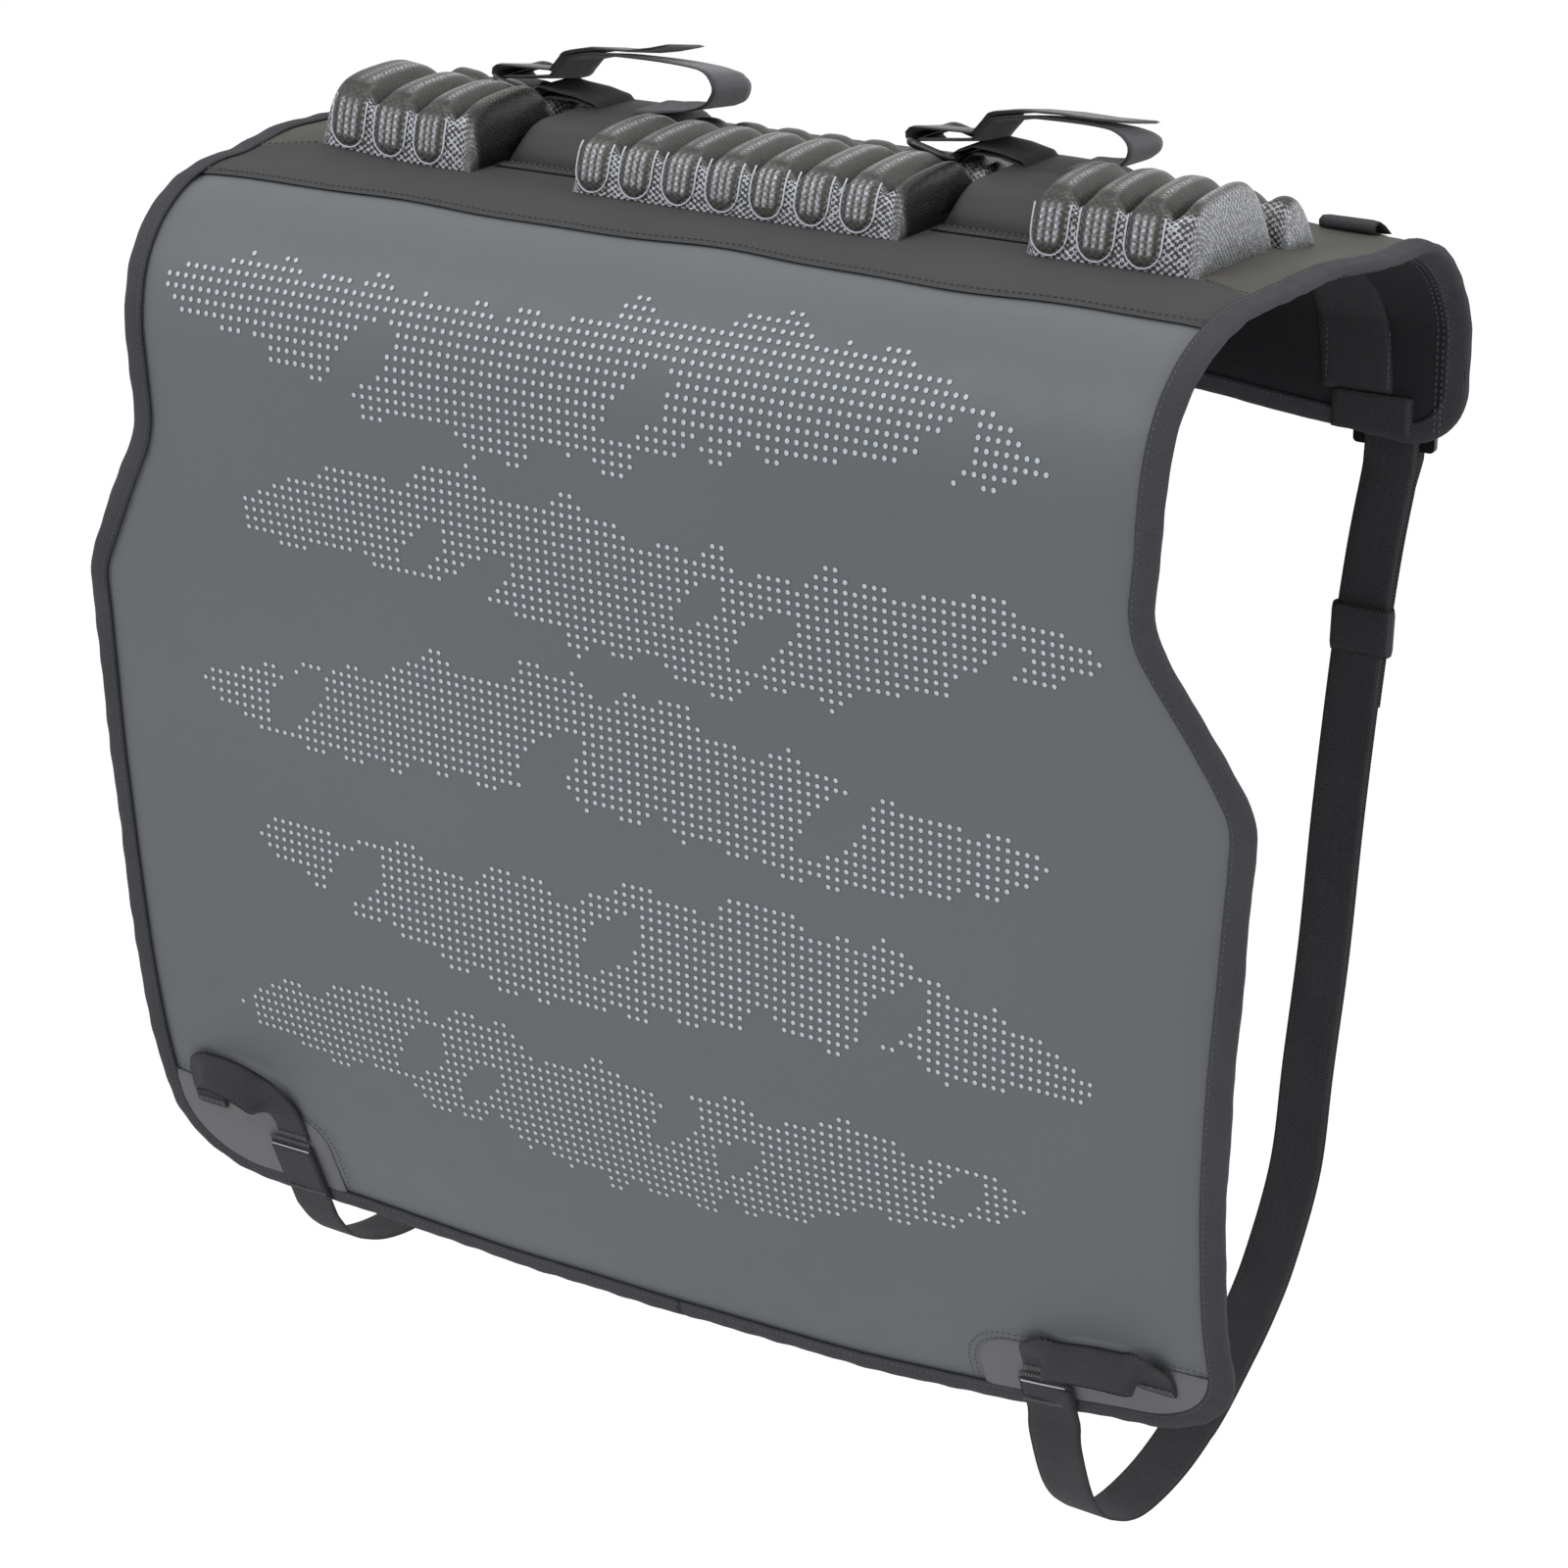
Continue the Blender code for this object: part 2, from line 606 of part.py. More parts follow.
def add_finger_loops(drape, materials, collection, root):
    """Webbing arches that stand off the corner patches."""
    base = GAP + max(PATCH, TAPE) + GAP + STRAP_THICKNESS / 2
    start = STRAP_END + 0.003
    for side in SIDES:
        sign = SIGN[side]
        middle = abs(STRAP_FRONT_X[side]) + FINGER_LOOP_RADIUS
        flat = [(180.0, -FINGER_LOOP_FLAT), *((180.0 - 15.0 * index, 0.0) for index in range(13)),
                (0.0, -FINGER_LOOP_FLAT)]
        centers = []
        halves = []
        for degrees, drop in flat:
            angle = math.radians(degrees)
            along = start + FINGER_LOOP_FLAT + drop
            lift = base + FINGER_LOOP_LIFT * math.sin(angle) ** 0.5 if drop == 0.0 else base
            spots = []
            for radius in (FINGER_LOOP_RADIUS - FINGER_LOOP_WIDTH / 2, FINGER_LOOP_RADIUS + FINGER_LOOP_WIDTH / 2):
                rise = radius * math.sin(angle)
                spots.append(drape.place(
                    sign * (middle - radius * math.cos(angle)),
                    along + rise * math.cos(FINGER_LOOP_TILT),
                    lift + rise * math.sin(FINGER_LOOP_TILT),
                ))
            centers.append((spots[0] + spots[1]) / 2)
            halves.append((spots[1] - spots[0]) / 2)
        add_ribbon(f"finger_loop_{side}", centers, halves, STRAP_THICKNESS,
                   (materials["webbing"], collection, root))


def buckle_levels(drape):
    """Where the strap and the buckle lie behind the rear flap, and the heights of the buckle's bars."""
    edge = drape.place(STRAP_REAR_X, drape.length, 0.0)
    behind = edge.y + GAP + TAPE + GAP
    low_bar = edge.z - BUCKLE_BELOW_EDGE + BUCKLE_BAR / 2
    pitch = BUCKLE_BAR + BUCKLE_SLOT
    frame = behind + STRAP_THICKNESS + 0.0010 + BUCKLE_THICKNESS / 2
    return {"strap": behind, "frame": frame, "bars": [low_bar, low_bar + pitch, low_bar + 2 * pitch]}


def hold_strap_line(drape, side):
    """The strap's side view from its sewn front end, down and round, up to the buckle and back down."""
    drop = STRAP_LOOP_DROP[side]
    over = GAP + TAPE + GAP + STRAP_THICKNESS / 2
    levels = buckle_levels(drape)
    bars = levels["bars"]
    first = [drape.place(0.0, along, over) for along in (STRAP_END, STRAP_END / 2, -FRONT_EDGE_SAG)]
    front = drape.place(0.0, 0.0, over)
    rear = Vector((0.0, levels["strap"] + STRAP_THICKNESS / 2, bars[0] - 2 * BUCKLE_BAR))
    shape = (
        (0.015, 0.78), (0.065, 0.40), (0.135, 0.16), (0.225, 0.025), (0.32, 0.0), (0.425, 0.045),
        (0.53, 0.17), (0.625, 0.37), (0.71, 0.58), (0.785, 0.86),
    )
    depth = rear.y - front.y
    low = front.z - drop
    hang = [Vector((0.0, front.y + depth * y, low + drop * z)) for y, z in shape]
    rise = rear.z - front.z
    climb = [Vector((0.0, rear.y - back, front.z + rise * z)) for back, z in (
        (0.041, 0.08), (0.036, 0.22), (0.029, 0.38), (0.026, 0.57), (0.019, 0.77), (0.011, 0.90),
    )]
    path = first[:-1] + smooth_path(first[-1:] + hang + climb + [rear], 3)
    frame = levels["frame"]
    reach = frame - rear.y
    top = bars[1] + BUCKLE_BAR / 2
    path.append(Vector((0.0, rear.y, top)))
    for degrees in (30, 60, 90, 120, 150, 180):
        angle = math.radians(degrees)
        path.append(Vector((0.0, frame - reach * math.cos(angle), top + 0.6 * reach * math.sin(angle))))
    path.append(Vector((0.0, frame + reach, bars[0] - BUCKLE_BAR)))
    return path


def tail_line(drape, side):
    """The strap's loose end, from below the buckle down behind the strap."""
    line = hold_strap_line(drape, side)
    levels = buckle_levels(drape)
    lap = STRAP_THICKNESS + 2 * GAP
    top = levels["bars"][0] - BUCKLE_BAR
    bottom = top - STRAP_TAIL_DROP
    climb = [point for point in line if 0.05 < point.y < levels["strap"] and bottom < point.z < top - 0.012]
    back = [Vector((0.0, point.y + lap, point.z)) for point in reversed(climb)]
    return line[-1:] + back


def strap_share(point, front, low, levels):
    """How far a spot on the strap is on its way from front to rear, as a share of its sideways drift."""
    depth = min(max((point.y - front.y) / (levels["strap"] - front.y), 0.0), 1.0)
    rise = min(max((point.z - low) / (levels["bars"][0] - low), 0.0), 1.0) if depth > 0.5 else 0.0
    return 0.45 * depth + 0.55 * rise


def strap_across(side, share):
    """The strap drifts from its front place to its rear place as it goes up."""
    front = STRAP_FRONT_X[side]
    rear = SIGN[side] * STRAP_REAR_X
    return front + (rear - front) * share


def add_hold_straps(drape, materials, collection, root):
    levels = buckle_levels(drape)
    for side in SIDES:
        line = hold_strap_line(drape, side)[:-1] + tail_line(drape, side)
        front = line[0]
        low = min(point.z for point in line)
        centers = []
        for point in line:
            share = strap_share(point, front, low, levels)
            centers.append(Vector((strap_across(side, share), point.y, point.z)))
        halves = [Vector((STRAP_WIDTH / 2, 0.0, 0.0))] * len(centers)
        add_ribbon(f"hold_strap_{side}", centers, halves, STRAP_THICKNESS,
                   (materials["webbing"], collection, root))


def add_buckles(drape, materials, collection, root):
    """A three-bar ladder buckle behind the lower edge of the rear flap."""
    levels = buckle_levels(drape)
    bars = levels["bars"]
    inner = STRAP_WIDTH + 4 * GAP
    width = inner + 2 * BUCKLE_SIDE
    height = bars[2] - bars[0] + BUCKLE_BAR
    for side in SIDES:
        corner = BUCKLE_BAR / 2
        outline = fillet_path([
            (0.0, -height / 2, 0.0), (width / 2, -height / 2, corner), (width / 2, height / 2, corner),
            (-width / 2, height / 2, corner), (-width / 2, -height / 2, corner), (0.0, -height / 2, 0.0),
        ], math.radians(30.0))[:-1]
        half = BUCKLE_THICKNESS / 2
        plate = flat_plate(f"buckle_{side}", outline, -half, half)
        for low_bar, high_bar in zip(bars, bars[1:]):
            middle = (low_bar + high_bar) / 2 - (bars[0] + bars[2]) / 2
            x = inner / 2
            z = BUCKLE_SLOT / 2
            window = [Vector((a, middle + b)) for a, b in ((-x, -z), (x, -z), (x, z), (-x, z))]
            plate = combine(plate, flat_plate("window", window, -2 * half, 2 * half), "DIFFERENCE")
        mesh = plate.data
        bpy.data.objects.remove(plate, do_unlink=True)
        buckle = add_object(f"buckle_{side}", mesh, materials["gloss_plastic"], collection, root)
        buckle.rotation_euler = (math.radians(90.0), 0.0, 0.0)
        buckle.location = (SIGN[side] * STRAP_REAR_X, levels["frame"], (bars[0] + bars[2]) / 2)


def add_anchors(drape, materials, collection, root):
    """Webbing sewn down the outside of the rear flap that holds the buckle's top bar."""
    levels = buckle_levels(drape)
    top_bar = levels["bars"][2]
    over = GAP + TAB_THICKNESS / 2
    bar = Vector((levels["frame"], top_bar))
    turn = math.hypot(BUCKLE_THICKNESS, BUCKLE_BAR) / 2 + 2 * GAP + TAB_THICKNESS / 2
    level = drape.place(0.0, drape.length, 0.0).z
    last = drape.length - (top_bar - level) - 0.014
    first = last - ANCHOR_LENGTH
    folds = [station for station in drape.stations if first + 0.006 < station < last - 0.002]
    lap = TAB_THICKNESS + 2 * GAP
    top_fold = [drape.place(0.0, first + along, over + height) for along, height in (
        (0.016, lap), (0.007, lap + 0.0028), (0.0, lap + 0.0045), (-0.005, lap + 0.0025), (-0.004, 0.0010),
    )]
    sewn = [drape.place(0.0, along, over) for along in [first + 0.003, *folds, last]]
    loop = [Vector((0.0, point.x, point.y)) for point in wrap_points(bar, turn, 160.0, 380.0, 8)]
    back = [drape.place(0.0, along, over + lap) for along in (last - 0.004, last - 0.020, last - 0.034)]
    for side in SIDES:
        across = Vector((SIGN[side] * STRAP_REAR_X, 0.0, 0.0))
        centers = [point + across for point in top_fold + sewn + loop + back]
        halves = [Vector((STRAP_WIDTH / 2, 0.0, 0.0))] * len(centers)
        add_ribbon(f"anchor_{side}", centers, halves, TAB_THICKNESS, (materials["webbing"], collection, root))


def add_keepers(drape, materials, collection, root):
    """A sewn sleeve round the strap and its loose end."""
    levels = buckle_levels(drape)
    behind = levels["strap"]
    level = levels["bars"][0] - BUCKLE_BAR - KEEPER_DROP
    x = STRAP_WIDTH / 2 + 3 * GAP
    wall = KEEPER_WALL
    for side in SIDES:
        line = hold_strap_line(drape, side)
        climb = [point for point in line if behind - 0.06 < point.y < behind and point.z > -FRONT_DROP / 2]
        nearest = min(climb, key=lambda point: abs(point.z - level))
        above = min(climb, key=lambda point: abs(point.z - level - KEEPER_LENGTH / 2))
        below = min(climb, key=lambda point: abs(point.z - level + KEEPER_LENGTH / 2))
        lean = math.atan2(above.y - below.y, above.z - below.z)
        low = min(point.z for point in line)
        share = strap_share(nearest, line[0], low, levels)
        slack = abs(above.y - below.y) * 0.1 + 2 * GAP
        y = (2 * STRAP_THICKNESS + 2 * GAP) / 2 + slack
        outer = [Vector(p) for p in ((-x - wall, -y - wall), (x + wall, -y - wall),
                                     (x + wall, y + wall), (-x - wall, y + wall))]
        hole = [Vector(p) for p in ((-x, -y), (x, -y), (x, y), (-x, y))]
        half = KEEPER_LENGTH / 2
        sleeve = flat_plate(f"keeper_{side}", outer, -half, half)
        sleeve = combine(sleeve, flat_plate("hole", hole, -2 * half, 2 * half), "DIFFERENCE")
        mesh = sleeve.data
        bpy.data.objects.remove(sleeve, do_unlink=True)
        keeper = add_object(f"keeper_{side}", mesh, materials["webbing"], collection, root)
        keeper.rotation_euler = (-lean, 0.0, 0.0)
        keeper.location = (strap_across(side, share), nearest.y + STRAP_THICKNESS / 2 + GAP, nearest.z)


def add_flap_reinforcements(drape, materials, collection, root):
    """Inside the rear flap: a wide sewn band and a patch over its lower end on each side."""
    inside = -drape.under - GAP
    low = drape.length - TAPE_WIDTH - REAR_EDGE_RISE - GAP
    for side in SIDES:
        sign = SIGN[side]
        band = [Vector((sign * BAND_X + x, s)) for x, s in (
            (-BAND_WIDTH / 2, low - REAR_PATCH_LENGTH - BAND_LENGTH), (BAND_WIDTH / 2, low - REAR_PATCH_LENGTH
                                                                      - BAND_LENGTH),
            (BAND_WIDTH / 2, low - REAR_PATCH_LENGTH - GAP), (-BAND_WIDTH / 2, low - REAR_PATCH_LENGTH - GAP),
        )]
        mesh = drape_plate(flat_plate(f"flap_band_{side}", band, inside - TAB_THICKNESS, inside), drape)
        add_object(f"flap_band_{side}", mesh, materials["webbing"], collection, root)
        patch = [Vector((sign * REAR_PATCH_X + x, s)) for x, s in (
            (-REAR_PATCH_WIDTH / 2, low - REAR_PATCH_LENGTH), (REAR_PATCH_WIDTH / 2, low - REAR_PATCH_LENGTH),
            (REAR_PATCH_WIDTH / 2, low), (-REAR_PATCH_WIDTH / 2, low),
        )]
        mesh = drape_plate(flat_plate(f"flap_patch_{side}", patch, inside - TAB_THICKNESS, inside), drape)
        add_object(f"flap_patch_{side}", mesh, materials["webbing"], collection, root)


def add_print(drape, materials, collection, root):
    """Long wavy fields, each narrowing at both ends, stepped left and right by turns."""
    count = 20
    for field in range(PRINT_FIELDS):
        middle = PRINT_SHIFT if field % 2 else -PRINT_SHIFT
        along = PRINT_LOWEST + PRINT_PITCH * field
        upper = []
        lower = []
        for index in range(count + 1):
            share = index / count
            across = middle + PRINT_LENGTH * (share - 0.5)
            center = along + PRINT_WAVE * math.sin(2 * math.pi * (share * 1.4 + 0.3 * field))
            half = PRINT_HALF_WIDTH * math.sqrt(max(0.0, math.sin(math.pi * share)))
            upper.append(Vector((across, center + half)))
            lower.append(Vector((across, center - half)))
        outline = lower + upper[-2:0:-1]
        plate = flat_plate(f"print_field_{field + 1}", outline, GAP, GAP + PRINT)
        mesh = drape_plate(plate, drape)
        add_object(f"print_field_{field + 1}", mesh, materials["print"], collection, root)


def make_materials():
    return {
        "tarpaulin": make_material("tarpaulin", (0.130, 0.138, 0.145), 0.48),
        "matte_cloth": make_material("matte_cloth", (0.060, 0.060, 0.060), 0.85),
        "grid_cloth": make_material("grid_cloth", (0.105, 0.102, 0.092), 0.62),
        "foam": make_material("foam", (0.020, 0.020, 0.022), 0.95),
        "lining": make_material("lining", (0.026, 0.024, 0.028), 0.80),
        "tape": make_material("tape", (0.050, 0.048, 0.053), 0.82),
        "spacer_mesh": make_material("spacer_mesh", (0.150, 0.155, 0.155), 0.40),
        "smooth_cloth": make_material("smooth_cloth", (0.062, 0.060, 0.062), 0.60),
        "hook_loop": make_material("hook_loop", (0.045, 0.043, 0.048), 0.90),
        "webbing": make_material("webbing", (0.042, 0.040, 0.044), 0.78),
        "gloss_plastic": make_material("gloss_plastic", (0.012, 0.012, 0.013), 0.22),
        "print": make_material("print", (0.50, 0.53, 0.56), 0.55),
    }


def main():
    clear_scene()
    collection = make_collection("tailgate_bike_pad")
    root = bpy.data.objects.new("pad_root", None)
    collection.objects.link(root)
    materials = make_materials()
    drape = make_drape()
    outline = edge_outline(drape)
    shared = (materials, collection, root)
    add_layers(drape, outline, *shared)
    add_rests(drape, *shared)
    add_cradles(drape, *shared)
    add_bike_straps(drape, *shared)
    add_corner_patches(drape, outline, *shared)
    add_finger_loops(drape, *shared)
    add_hold_straps(drape, *shared)
    add_buckles(drape, *shared)
    add_anchors(drape, *shared)
    add_keepers(drape, *shared)
    add_flap_reinforcements(drape, *shared)
    add_print(drape, *shared)


main()
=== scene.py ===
"""Looks of the tailgate bike pad: cloth skins, print, rests, webbing, stitching, light and camera."""
import math

import bmesh
import bpy
import numpy as np
from mathutils import Matrix, Vector
from mathutils.geometry import delaunay_2d_cdt


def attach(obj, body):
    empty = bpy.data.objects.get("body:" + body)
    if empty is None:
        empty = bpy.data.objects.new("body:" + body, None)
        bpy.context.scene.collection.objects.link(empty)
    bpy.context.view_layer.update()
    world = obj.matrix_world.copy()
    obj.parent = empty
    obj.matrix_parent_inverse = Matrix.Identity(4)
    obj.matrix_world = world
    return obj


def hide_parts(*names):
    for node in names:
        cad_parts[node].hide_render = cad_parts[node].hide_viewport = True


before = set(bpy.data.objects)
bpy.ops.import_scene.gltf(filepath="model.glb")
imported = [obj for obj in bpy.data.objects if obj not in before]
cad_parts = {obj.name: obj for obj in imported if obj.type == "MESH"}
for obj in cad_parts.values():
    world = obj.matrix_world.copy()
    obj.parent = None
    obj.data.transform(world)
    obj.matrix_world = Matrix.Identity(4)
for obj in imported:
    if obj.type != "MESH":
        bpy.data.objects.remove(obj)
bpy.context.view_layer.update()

# Sizes shared with the solids, in metres
PANEL_WIDTH = 0.700
NECK_WIDTH = 0.602
SHOULDER_LOW = 0.378
SHOULDER_HIGH = 0.462
SHOULDER_RADIUS = 0.045
FRONT_CORNER_RADIUS = 0.058
REAR_CORNER_RADIUS = 0.034
FRONT_EDGE_SAG = 0.008
REAR_EDGE_RISE = 0.011
FRONT_DROP = 0.583
FRONT_TUCK = 0.044
TUCK_HEIGHT = 0.115
TUCK_RADIUS = 0.450
FRONT_LEAN = 0.009
SADDLE_DEPTH = 0.342
REAR_DROP = 0.131
FRONT_BEND_RADIUS = 0.080
REAR_BEND_RADIUS = 0.060
THICK = 0.0080
TAPE_WIDTH = 0.012
SEAM_BEFORE_TOP = 0.017
MIDDLE_REST_START = 0.024
SIDE_REST_START = 0.032
REST_DEPTH = 0.081
REST_HEIGHT = 0.034
REAR_REST_GAP = 0.009
REAR_REST_HEIGHT = 0.023
CRADLE_WIDTH = 0.053
CRADLE_START = 0.062
CRADLE_HEIGHT = 0.022
BIKE_STRAP_WIDTH = 0.038
BIKE_STRAP_START = 0.130
BIKE_STRAP_SHIFT = 0.009
BIKE_STRAP_ROOT = 0.018
BIKE_STRAP_REACH = {"left": 0.068, "right": 0.0515}
BIKE_STRAP_RISE = {"left": 0.0255, "right": 0.0208}
BIKE_STRAP_TIP = {"left": 0.039, "right": 0.050}
BIKE_STRAP_TIP_RISE = {"left": 0.034, "right": 0.024}
RING_WIRE = 0.0022
RING_SPACING = 0.025
RING_FAR = 0.070
RING_RISE = {"left": 0.0150, "right": 0.0115}
RING_FALL = 0.0065
RING_MARGIN = 0.004
RING_TAB_REACH = 0.009
RING_SETTLE = {"left": 0.004, "right": 0.005}
STRAP_WIDTH = 0.031
STRAP_FRONT_X = {"left": -0.262, "right": 0.229}
STRAP_REAR_X = 0.258
STRAP_END = 0.027
STRAP_LOOP_DROP = {"left": 0.068, "right": 0.094}
FINGER_LOOP_WIDTH = 0.022
FINGER_LOOP_FLAT = 0.009
# Each loop: from foot to foot, height over them, how much lower its right foot is, and its shift beside the strap
FINGER_LOOPS = {"left": (0.056, 0.033, 0.010, 0.004), "right": (0.078, 0.019, -0.004, 0.0)}
PATCH_INNER = {"left": 0.027, "right": 0.038}
PATCH_LOW_TOP = 0.047
PATCH_HIGH_TOP = 0.062
PATCH_RADIUS = 0.022
BUCKLE_THICKNESS = 0.004
BUCKLE_BAR = 0.005
BUCKLE_SLOT = 0.009
BUCKLE_BELOW_EDGE = 0.008
BUCKLE_GAP = 0.0010
STRAP_TAIL_DROP = 0.133
KEEPER_DROP = 0.090
KEEPER_LENGTH = 0.026
ANCHOR_LENGTH = 0.128
BAND_WIDTH = 0.040
BAND_LENGTH = 0.085
BAND_X = 0.242
REAR_PATCH_WIDTH = 0.046
REAR_PATCH_LENGTH = 0.022
REAR_PATCH_X = 0.251
PRINT_FIELDS = 5
PRINT_LOWEST = 0.130
PRINT_PITCH = 0.100
PRINT_LENGTH = 0.520
PRINT_HALF_WIDTH = 0.038
PRINT_WAVE = 0.010
PRINT_SHIFT = 0.016

# How the real cloth departs from its even plan, in metres: sideways down each edge as (along, shift), and up at
# the lower edge as (across, rise). The right end of the rear bend is rounder.
LEFT_SHIFT = ((0.05, 0.0), (0.12, 0.0027), (0.18, 0.0027), (0.22, -0.0007), (0.28, -0.0030), (0.39, -0.0014),
              (0.44, -0.0030), (0.49, -0.0020), (0.52, -0.0030), (0.55, -0.0050), (0.58, -0.0070), (0.61, -0.0110),
              (0.635, -0.0110), (0.66, -0.0080), (0.72, -0.0030), (0.80, 0.0))
RIGHT_SHIFT = ((0.05, -0.0145), (0.10, -0.0130), (0.15, -0.0110), (0.20, -0.0105), (0.24, -0.0093),
               (0.28, -0.0064), (0.325, -0.0035), (0.36, -0.0010), (0.41, -0.0005), (0.43, -0.0046),
               (0.455, -0.0080), (0.475, -0.0030), (0.51, 0.0))
LOW_RISE = ((-0.35, -0.0155), (-0.20, -0.0150), (-0.13, -0.0140), (-0.07, -0.0105), (0.0, -0.0080),
            (0.105, -0.0038), (0.15, 0.0), (0.225, 0.0048), (0.30, 0.0110), (0.35, 0.0130))
SOFT_BEND_RADIUS = 0.086

# Sizes of the looks
GAP = 0.0003
THREAD_RADIUS = 0.00032
STITCH_PITCH = 0.0036
STITCH_LENGTH = 0.0026
TACK_PITCH = 0.0008
HEM_WIDTH = 0.011
RING_TAB_WIDTH = 0.034
WEBBING = 0.0016
TAB_WEBBING = 0.0012
PATCH_CLOTH = 0.0010
SOFT_BEND_SPAN = (0.10, 0.27)
REST_GRID = 0.0012
PIPING_RADIUS = 0.0005
TONGUE_HALF = 0.0098
SLOT_MIDDLE = {"left": -0.1271, "right": 0.1331}
DOT_PITCH = 0.00525
DOT_RADIUS = 0.00125
DOT_SIDES = 10
SIDES = {"left": -1.0, "right": 1.0}
CROSSWISE = (1.0, 0.0, 0.0)
ENDWISE = (0.0, 1.0, 0.0)

# Camera and light, in metres, degrees and watts
CAMERA_PLACE = (0.98602, -1.54979, 0.42240)
CAMERA_TURN = 32.919
CAMERA_TILT = 22.032
CAMERA_ROLL = 0.234
CAMERA_LENS = 83.443
CAMERA_SENSOR = 36.0
FLOOR_LEVEL = -1.25
FLOOR_REACH = 9.0
WORLD_STRENGTH = 0.80


def smooth(value, low, high):
    t = np.clip((np.asarray(value, float) - low) / (high - low), 0.0, 1.0)
    return t * t * (3.0 - 2.0 * t)


def fillet_path(corners, step):
    """Straight runs joined by arcs. Each corner is (a, b, radius); the ends take no radius."""
    points = [Vector(corners[0][:2])]
    for before, corner, after in zip(corners, corners[1:], corners[2:]):
        here = Vector(corner[:2])
        into = (here - Vector(before[:2])).normalized()
        out = (Vector(after[:2]) - here).normalized()
        turn = math.atan2(into.x * out.y - into.y * out.x, into.dot(out))
        radius = corner[2]
        start = here - into * radius * math.tan(abs(turn) / 2)
        center = start + Vector((-into.y, into.x)) * math.copysign(radius, turn)
        count = max(2, math.ceil(abs(turn) / step))
        for index in range(count + 1):
            points.append(center + Matrix.Rotation(turn * index / count, 2) @ (start - center))
    points.append(Vector(corners[-1][:2]))
    return np.array([tuple(point) for point in points])


def lengths_along(points):
    return np.concatenate([[0.0], np.cumsum(np.linalg.norm(np.diff(points, axis=0), axis=1))])


def follow(at, marks, points):
    """Points read from a line at some of its lengths."""
    return np.stack([np.interp(at, marks, points[:, axis]) for axis in range(points.shape[1])], axis=-1)


def resample(points, spacing, closed=False):
    """Points at an even spacing along a line."""
    points = np.asarray(points, float)
    if closed:
        points = np.vstack([points, points[:1]])
    lengths = lengths_along(points)
    count = max(2, int(round(lengths[-1] / spacing)))
    marks = np.linspace(0.0, lengths[-1], count + 1)
    if closed:
        marks = marks[:-1]
    return follow(marks, lengths, points)


def smooth_path(points, spacing):
    """A smooth curve through all the points, evenly spaced."""
    points = np.asarray(points, float)
    padded = np.vstack([2 * points[0] - points[1], points, 2 * points[-1] - points[-2]])
    path = []
    for p0, p1, p2, p3 in zip(padded, padded[1:], padded[2:], padded[3:]):
        for t in np.linspace(0.0, 1.0, 8, endpoint=False):
            path.append(0.5 * (2 * p1 + (p2 - p0) * t + (2 * p0 - 5 * p1 + 4 * p2 - p3) * t ** 2
                               + (3 * p1 - p0 - 3 * p2 + p3) * t ** 3))
    path.append(points[-1])
    return resample(path, spacing)


def band(value, start, full, fade, end):
    """Rises from 0 at the start to 1, and falls again to 0 at the end."""
    return smooth(value, start, full) * (1.0 - smooth(value, fade, end))


def bell(value, middle, width):
    return np.exp(-((value - middle) / width) ** 2)


def blend(a, b, share):
    return a * (1.0 - share) + b * share


def drift(table, at):
    """A shift read from a table, with its corners rounded off."""
    spots, shifts = np.array(table).T
    return sum(np.interp(at + nudge, spots, shifts) for nudge in (-0.015, 0.0, 0.015)) / 3.0


